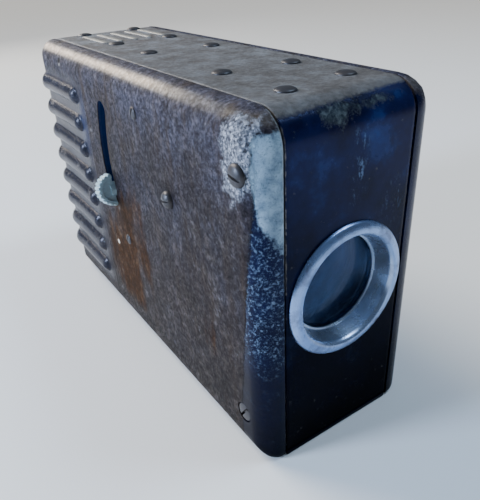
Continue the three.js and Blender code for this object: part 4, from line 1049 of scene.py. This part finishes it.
bezel = {  # radii and distances in millimetres, behind the front face except for proud
    "outer": 21.2, "proud": 2.0, "mouth": 17.0, "sight": 15.6, "glassDepth": 5.0, "neck": 18.9,
}
lensAxis = (0, frontY, lensCentre.z)


def objective():
    # the bright ring and the glass behind it are lathe pieces about the lens axis; the glass bulges by 1 less r squared
    outer, proud, mouth, sight, depth, neck = (
        bezel[key] * mm for key in ("outer", "proud", "mouth", "sight", "glassDepth", "neck"))
    inner = sight - 0.5 * mm
    turnedPiece("bezelRing", [
        (inner, depth, 0), (inner, depth - 0.5 * mm, 0.1 * mm), (sight + 0.15 * mm, depth - 0.6 * mm, 0.1 * mm),
        (mouth - 0.05 * mm, -proud + 1.1 * mm, 0.5 * mm), (mouth + 0.75 * mm, -proud, 0.9 * mm),
        (mouth + 2.3 * mm, -proud + 0.15 * mm, 1.2 * mm), (outer - 0.35 * mm, -1.05 * mm, 1.0 * mm),
        (outer, -0.05 * mm, 0.3 * mm), (neck, -0.02 * mm, 0), (neck, depth, 0), (inner, depth, 0),
    ], lensAxis, "y", "bright_metal", "body", "lens_bezel", segments=160, steps=7)
    radius = frontGlass["radius"]
    r = np.linspace(0, radius, 24)
    bulge = frontGlass["dome"] * (1 - (r / radius) ** 2)
    front = np.stack([r, depth + frontGlass["behind"] - bulge], -1)
    back = np.stack([r, np.full_like(r, depth + frontGlass["behind"] + frontGlass["thickness"])], -1)[::-1]
    profile = np.vstack([front, back])
    points = turnedPoints(profile, lensAxis, "y", 96)
    pieceFrom("frontGlass", points, gridFaces(len(profile), 96, True), "lens_glass", "body", "front_lens")


objective()
print("objective made")


screws = {  # sizes in millimetres, slotTurn in degrees; sunk is how far the head sits below the face
    "frontUpperScrew": {"node": "front_upper_screw", "radius": 3.1, "rise": 1.7, "slotTurn": 100},
    "frontLowerScrew": {"node": "front_lower_screw", "radius": 3.0, "rise": 0.45, "slotTurn": 35, "sunk": 0.3},
    "middleUpperScrew": {
        "node": "middle_upper_screw", "radius": 2.0, "rise": 0.9, "slotTurn": 20, "slotWidth": 0.5, "slotDepth": 0.5},
    "middleLowerScrew": {
        "node": "middle_lower_screw", "radius": 2.0, "rise": 0.6, "slotTurn": 15, "slotWidth": 0.5, "slotDepth": 0.5},
    "leverPivotScrew": {"node": "lever_pivot_screw", "radius": 2.9, "rise": 2.1, "slotTurn": 78},
}
rivets = {"count": 10, "radius": 3.0, "rise": 0.95, "tail": 3.0}
shank = {"radius": 1.2, "headRim": 0.15}
leftFace = -housing["halfWidth"]


def domedHead(name, node, axis, seat, radius, rise, tail):
    # a low dome over a thin rim, height as the cosine to a power, on a shank that goes into the sheet
    centre = centreOf(node)
    outward = -1 if axis == "x" else 1
    angle = np.linspace(0, math.pi / 2, 12)
    dome = np.stack([radius * np.sin(angle), rise * np.cos(angle) ** 0.9], -1)
    under = [[radius, -shank["headRim"]], [shank["radius"], -shank["headRim"]], [shank["radius"], -tail], [0, -tail]]
    profile = np.vstack([dome, under]) * mm
    profile[:, 1] = seat + outward * profile[:, 1]
    place = (0, centre.y, centre.z) if axis == "x" else (centre.x, centre.y, 0)
    points = turnedPoints(profile, place, axis, 40)
    return pieceFrom(name, points, gridFaces(len(profile), 40, True), "dark_steel", "body", node)


def slottedScrew(name, node, radius, rise, slotTurn, slotWidth=0.8, slotDepth=0.8, sunk=0.0):
    # a domed head on the left face with a straight cut across it, turned about the screw's axis
    seat = leftFace + sunk * mm
    piece = domedHead(name, node, "x", seat, radius, rise, 6)
    reach = radius * 1.3 * mm
    cutter = blockCutter((seat - (rise - slotDepth) * mm, -slotWidth / 2 * mm, -reach),
                         (seat - (rise + 1) * mm, slotWidth / 2 * mm, reach))
    centre = centreOf(node)
    cutter.data.transform(Matrix.Rotation(math.radians(slotTurn), 4, "X"))
    cutter.data.transform(Matrix.Translation((0, centre.y, centre.z)))
    tidyMesh(cutter.data)
    carve(piece, cutter)
    soften(piece)


for name, settings in screws.items():
    slottedScrew(name, **settings)
for number in range(1, rivets["count"] + 1):
    domedHead(f"topRivet{number}", f"top_rivet_{number}", "z", topZ, rivets["radius"], rivets["rise"], rivets["tail"])

thumb = {
    "radius": 6.2 * mm, "thickness": 5 * mm, "teeth": 11, "toothDepth": 0.60 * mm, "restAngle": -14.3,
    "neck": 2.8, "neckLength": 3.4, "neckStart": -1.2,
    # the section: share of the radius, and share of half the thickness, from one face over the rim to the other
    "share": (0, 0.62, 0.70, 0.74, 0.93, 0.985, 1, 1, 0.985, 0.93, 0.74, 0.70, 0.62, 0),
    "level": (0.76, 0.76, 0.80, 1, 1, 0.96, 0.86, -0.86, -0.96, -1, -1, -0.80, -0.76, -0.76),
}


def thumbPiece():
    # a half disc: a profile from the middle of one face over the serrated rim to the other, turned half way round
    share = np.array(thumb["share"])
    level = np.array(thumb["level"]) * thumb["thickness"] / 2
    count = thumb["teeth"] * 12 + 1
    angle = np.linspace(0, math.pi, count)
    groove = (0.5 + 0.5 * np.cos(angle * thumb["teeth"] * 2)) ** 4
    rimWeight = ease(share, 0.9, 0.99)
    radius = thumb["radius"] * share[:, None] - thumb["toothDepth"] * rimWeight[:, None] * groove
    along = radius * np.cos(angle)
    out = radius * np.sin(angle)
    through = np.broadcast_to(level[:, None], out.shape)
    tilt = math.radians(thumb["restAngle"])
    centre = pivot + slot["reach"] * np.array([math.cos(tilt), math.sin(tilt)])
    seat = leftFace - 0.3 * mm
    x = seat - out
    y = centre[0] + along * -math.sin(tilt) + through * math.cos(tilt)
    z = centre[1] + along * math.cos(tilt) + through * math.sin(tilt)
    points = np.stack([x, y, z], -1)
    rows = len(share)
    faces = gridFaces(rows, count).tolist()
    faces.append([row * count for row in range(rows)] + [row * count + count - 1 for row in range(rows - 2, 0, -1)])
    pieceFrom("thumbPiece", points, faces, "nickel", "lever", "thumb_piece", smooth=30)
    start, end, neckRadius = thumb["neckStart"], thumb["neckLength"], thumb["neck"]
    neck = turnedPiece(
        "thumbNeck", [(0, start, 0), (neckRadius, start, 0), (neckRadius, end, 0.2), (0, end, 0)],
        (0, 0, 0), "x", "nickel", "lever", segments=32)
    neck.data.transform(Matrix.Scale(mm, 4))
    neck.data.transform(Matrix.Translation((seat, centre[0], centre[1])))


thumbPiece()
print("screws and thumb piece made")

refined = {"bevel": 0.14 * mm, "segments": 2, "limit": 42, "smooth": 40, "flat": 0.5}
slots = {part["node"]: part["material_slot"] for part in frame["record"]["subparts"]}


def refinedCopy(nodeName):
    # a copy of a CAD node whose flat faces are merged again and whose edges get a small rounding
    node = frame["nodes"][nodeName]
    corners = np.empty(len(node.data.loops), np.int32)
    node.data.loops.foreach_get("vertex_index", corners)
    name = nodeName.title().replace("_", "")
    name = name[0].lower() + name[1:]
    mesh = bpy.data.meshes.new(name)
    mesh.from_pydata(verticesOf(node).tolist(), [], corners.reshape(-1, 3).tolist())
    work = bmesh.new()
    work.from_mesh(mesh)
    bmesh.ops.remove_doubles(work, verts=work.verts, dist=1e-6)
    bmesh.ops.dissolve_limit(work, angle_limit=math.radians(refined["flat"]), verts=work.verts, edges=work.edges)
    work.to_mesh(mesh)
    work.free()
    piece = bpy.data.objects.new(name, mesh)
    bpy.context.scene.collection.objects.link(piece)
    edge = piece.modifiers.new("edge", "BEVEL")
    edge.width = refined["bevel"]
    edge.segments = refined["segments"]
    edge.limit_method = "ANGLE"
    edge.angle_limit = math.radians(refined["limit"])
    edge.use_clamp_overlap = True
    settle(piece)
    return dress(piece, slots[nodeName], node["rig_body"], nodeName, smooth=refined["smooth"])


leaf = {"node": "pressure_spring", "joint": "pressure_travel", "travel": 1.5 * mm}


def squashLeaf(piece):
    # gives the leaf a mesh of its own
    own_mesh(piece)


for nodeName, node in list(frame["nodes"].items()):
    if not node.hide_render:
        piece = refinedCopy(nodeName)
        if nodeName == leaf["node"]:
            squashLeaf(piece)
print("inner pieces refined")


camera = {
    "place": (-94.1 * mm, -173.7 * mm, 142.0 * mm),
    "azimuth": -32.534, "elevation": 29.59, "roll": -3.111, "lens": 38.83,
}
floorLook = {"reach": 4.0, "colour": (0.86, 0.87, 0.88), "rough": 0.8}
daylight = {"colour": (0.68, 0.82, 1.0, 1), "strength": 0.15}
sunlight = {"towards": (-0.28, 0.72, 0.60), "energy": 3.2, "angle": 28, "colour": (1.0, 0.93, 0.82)}
discs = {
    "skyFill": {"place": (-0.70, 0.16, 0.34), "target": (-0.03, 0, 0.06), "size": 0.20, "power": 8.5,
                "colour": (0.58, 0.74, 1.0)},
    "window": {"place": (-0.06, 0.84, 0.42), "target": (-0.03, 0, 0.10), "size": 0.30, "power": 2.4,
               "colour": (1.0, 0.93, 0.82)},
    "overhead": {"place": (0.36, -0.24, 0.80), "target": (0, -0.05, 0.10), "size": 0.30, "power": 4.0,
                 "colour": (0.60, 0.78, 1.0)},
}


def aimCamera():
    # looks back along the line that azimuth and elevation give, then turns about it by the roll
    azimuth, elevation, roll = (math.radians(camera[key]) for key in ("azimuth", "elevation", "roll"))
    level = math.cos(elevation)
    back = Vector((math.sin(azimuth) * level, -math.cos(azimuth) * level, math.sin(elevation)))
    right = Vector((0, 0, 1)).cross(back).normalized()
    up = back.cross(right)
    turnedRight = math.cos(roll) * right + math.sin(roll) * up
    turnedUp = -math.sin(roll) * right + math.cos(roll) * up
    data = bpy.data.cameras.new("camera")
    data.lens = camera["lens"]
    data.sensor_width = 36
    data.clip_start = 0.01
    eye = bpy.data.objects.new("camera", data)
    turned = Matrix((turnedRight, turnedUp, back)).transposed().to_4x4()
    eye.matrix_world = Matrix.Translation(camera["place"]) @ turned
    bpy.context.scene.collection.objects.link(eye)
    bpy.context.scene.camera = eye


def softLight(name, place, target, size, power, colour):
    # a round lamp at its place, facing its target
    data = bpy.data.lights.new(name, "AREA")
    data.shape = "DISK"
    data.size = size
    data.energy = power
    data.color = colour
    lamp = bpy.data.objects.new(name, data)
    lamp.location = place
    lamp.rotation_euler = (Vector(target) - Vector(place)).to_track_quat("-Z", "Y").to_euler()
    bpy.context.scene.collection.objects.link(lamp)


def setStage():
    # a flat pale floor, a dim even sky, a broad sun and the soft lamps
    reach = floorLook["reach"]
    mesh = bpy.data.meshes.new("floor")
    corners = [(-reach, -reach, 0), (reach, -reach, 0), (reach, reach, 0), (-reach, reach, 0)]
    mesh.from_pydata(corners, [], [(0, 1, 2, 3)])
    floor = bpy.data.objects.new("floor", mesh)
    bpy.context.scene.collection.objects.link(floor)
    material, tree, shader = newMaterial("paleFloor")
    feed(tree, shader, colour=floorLook["colour"], rough=floorLook["rough"])
    mesh.materials.append(material)
    world = bpy.data.worlds.new("studio")
    world.use_nodes = True
    bpy.context.scene.world = world
    background = world.node_tree.nodes["Background"]
    background.inputs["Color"].default_value = daylight["colour"]
    background.inputs["Strength"].default_value = daylight["strength"]
    sun = bpy.data.lights.new("key", "SUN")
    sun.energy = sunlight["energy"]
    sun.angle = math.radians(sunlight["angle"])
    sun.color = sunlight["colour"]
    lamp = bpy.data.objects.new("key", sun)
    lamp.rotation_euler = Vector(sunlight["towards"]).to_track_quat("Z", "Y").to_euler()
    bpy.context.scene.collection.objects.link(lamp)
    for name, settings in discs.items():
        softLight(name, **settings)


aimCamera()
setStage()
print("camera and light set")
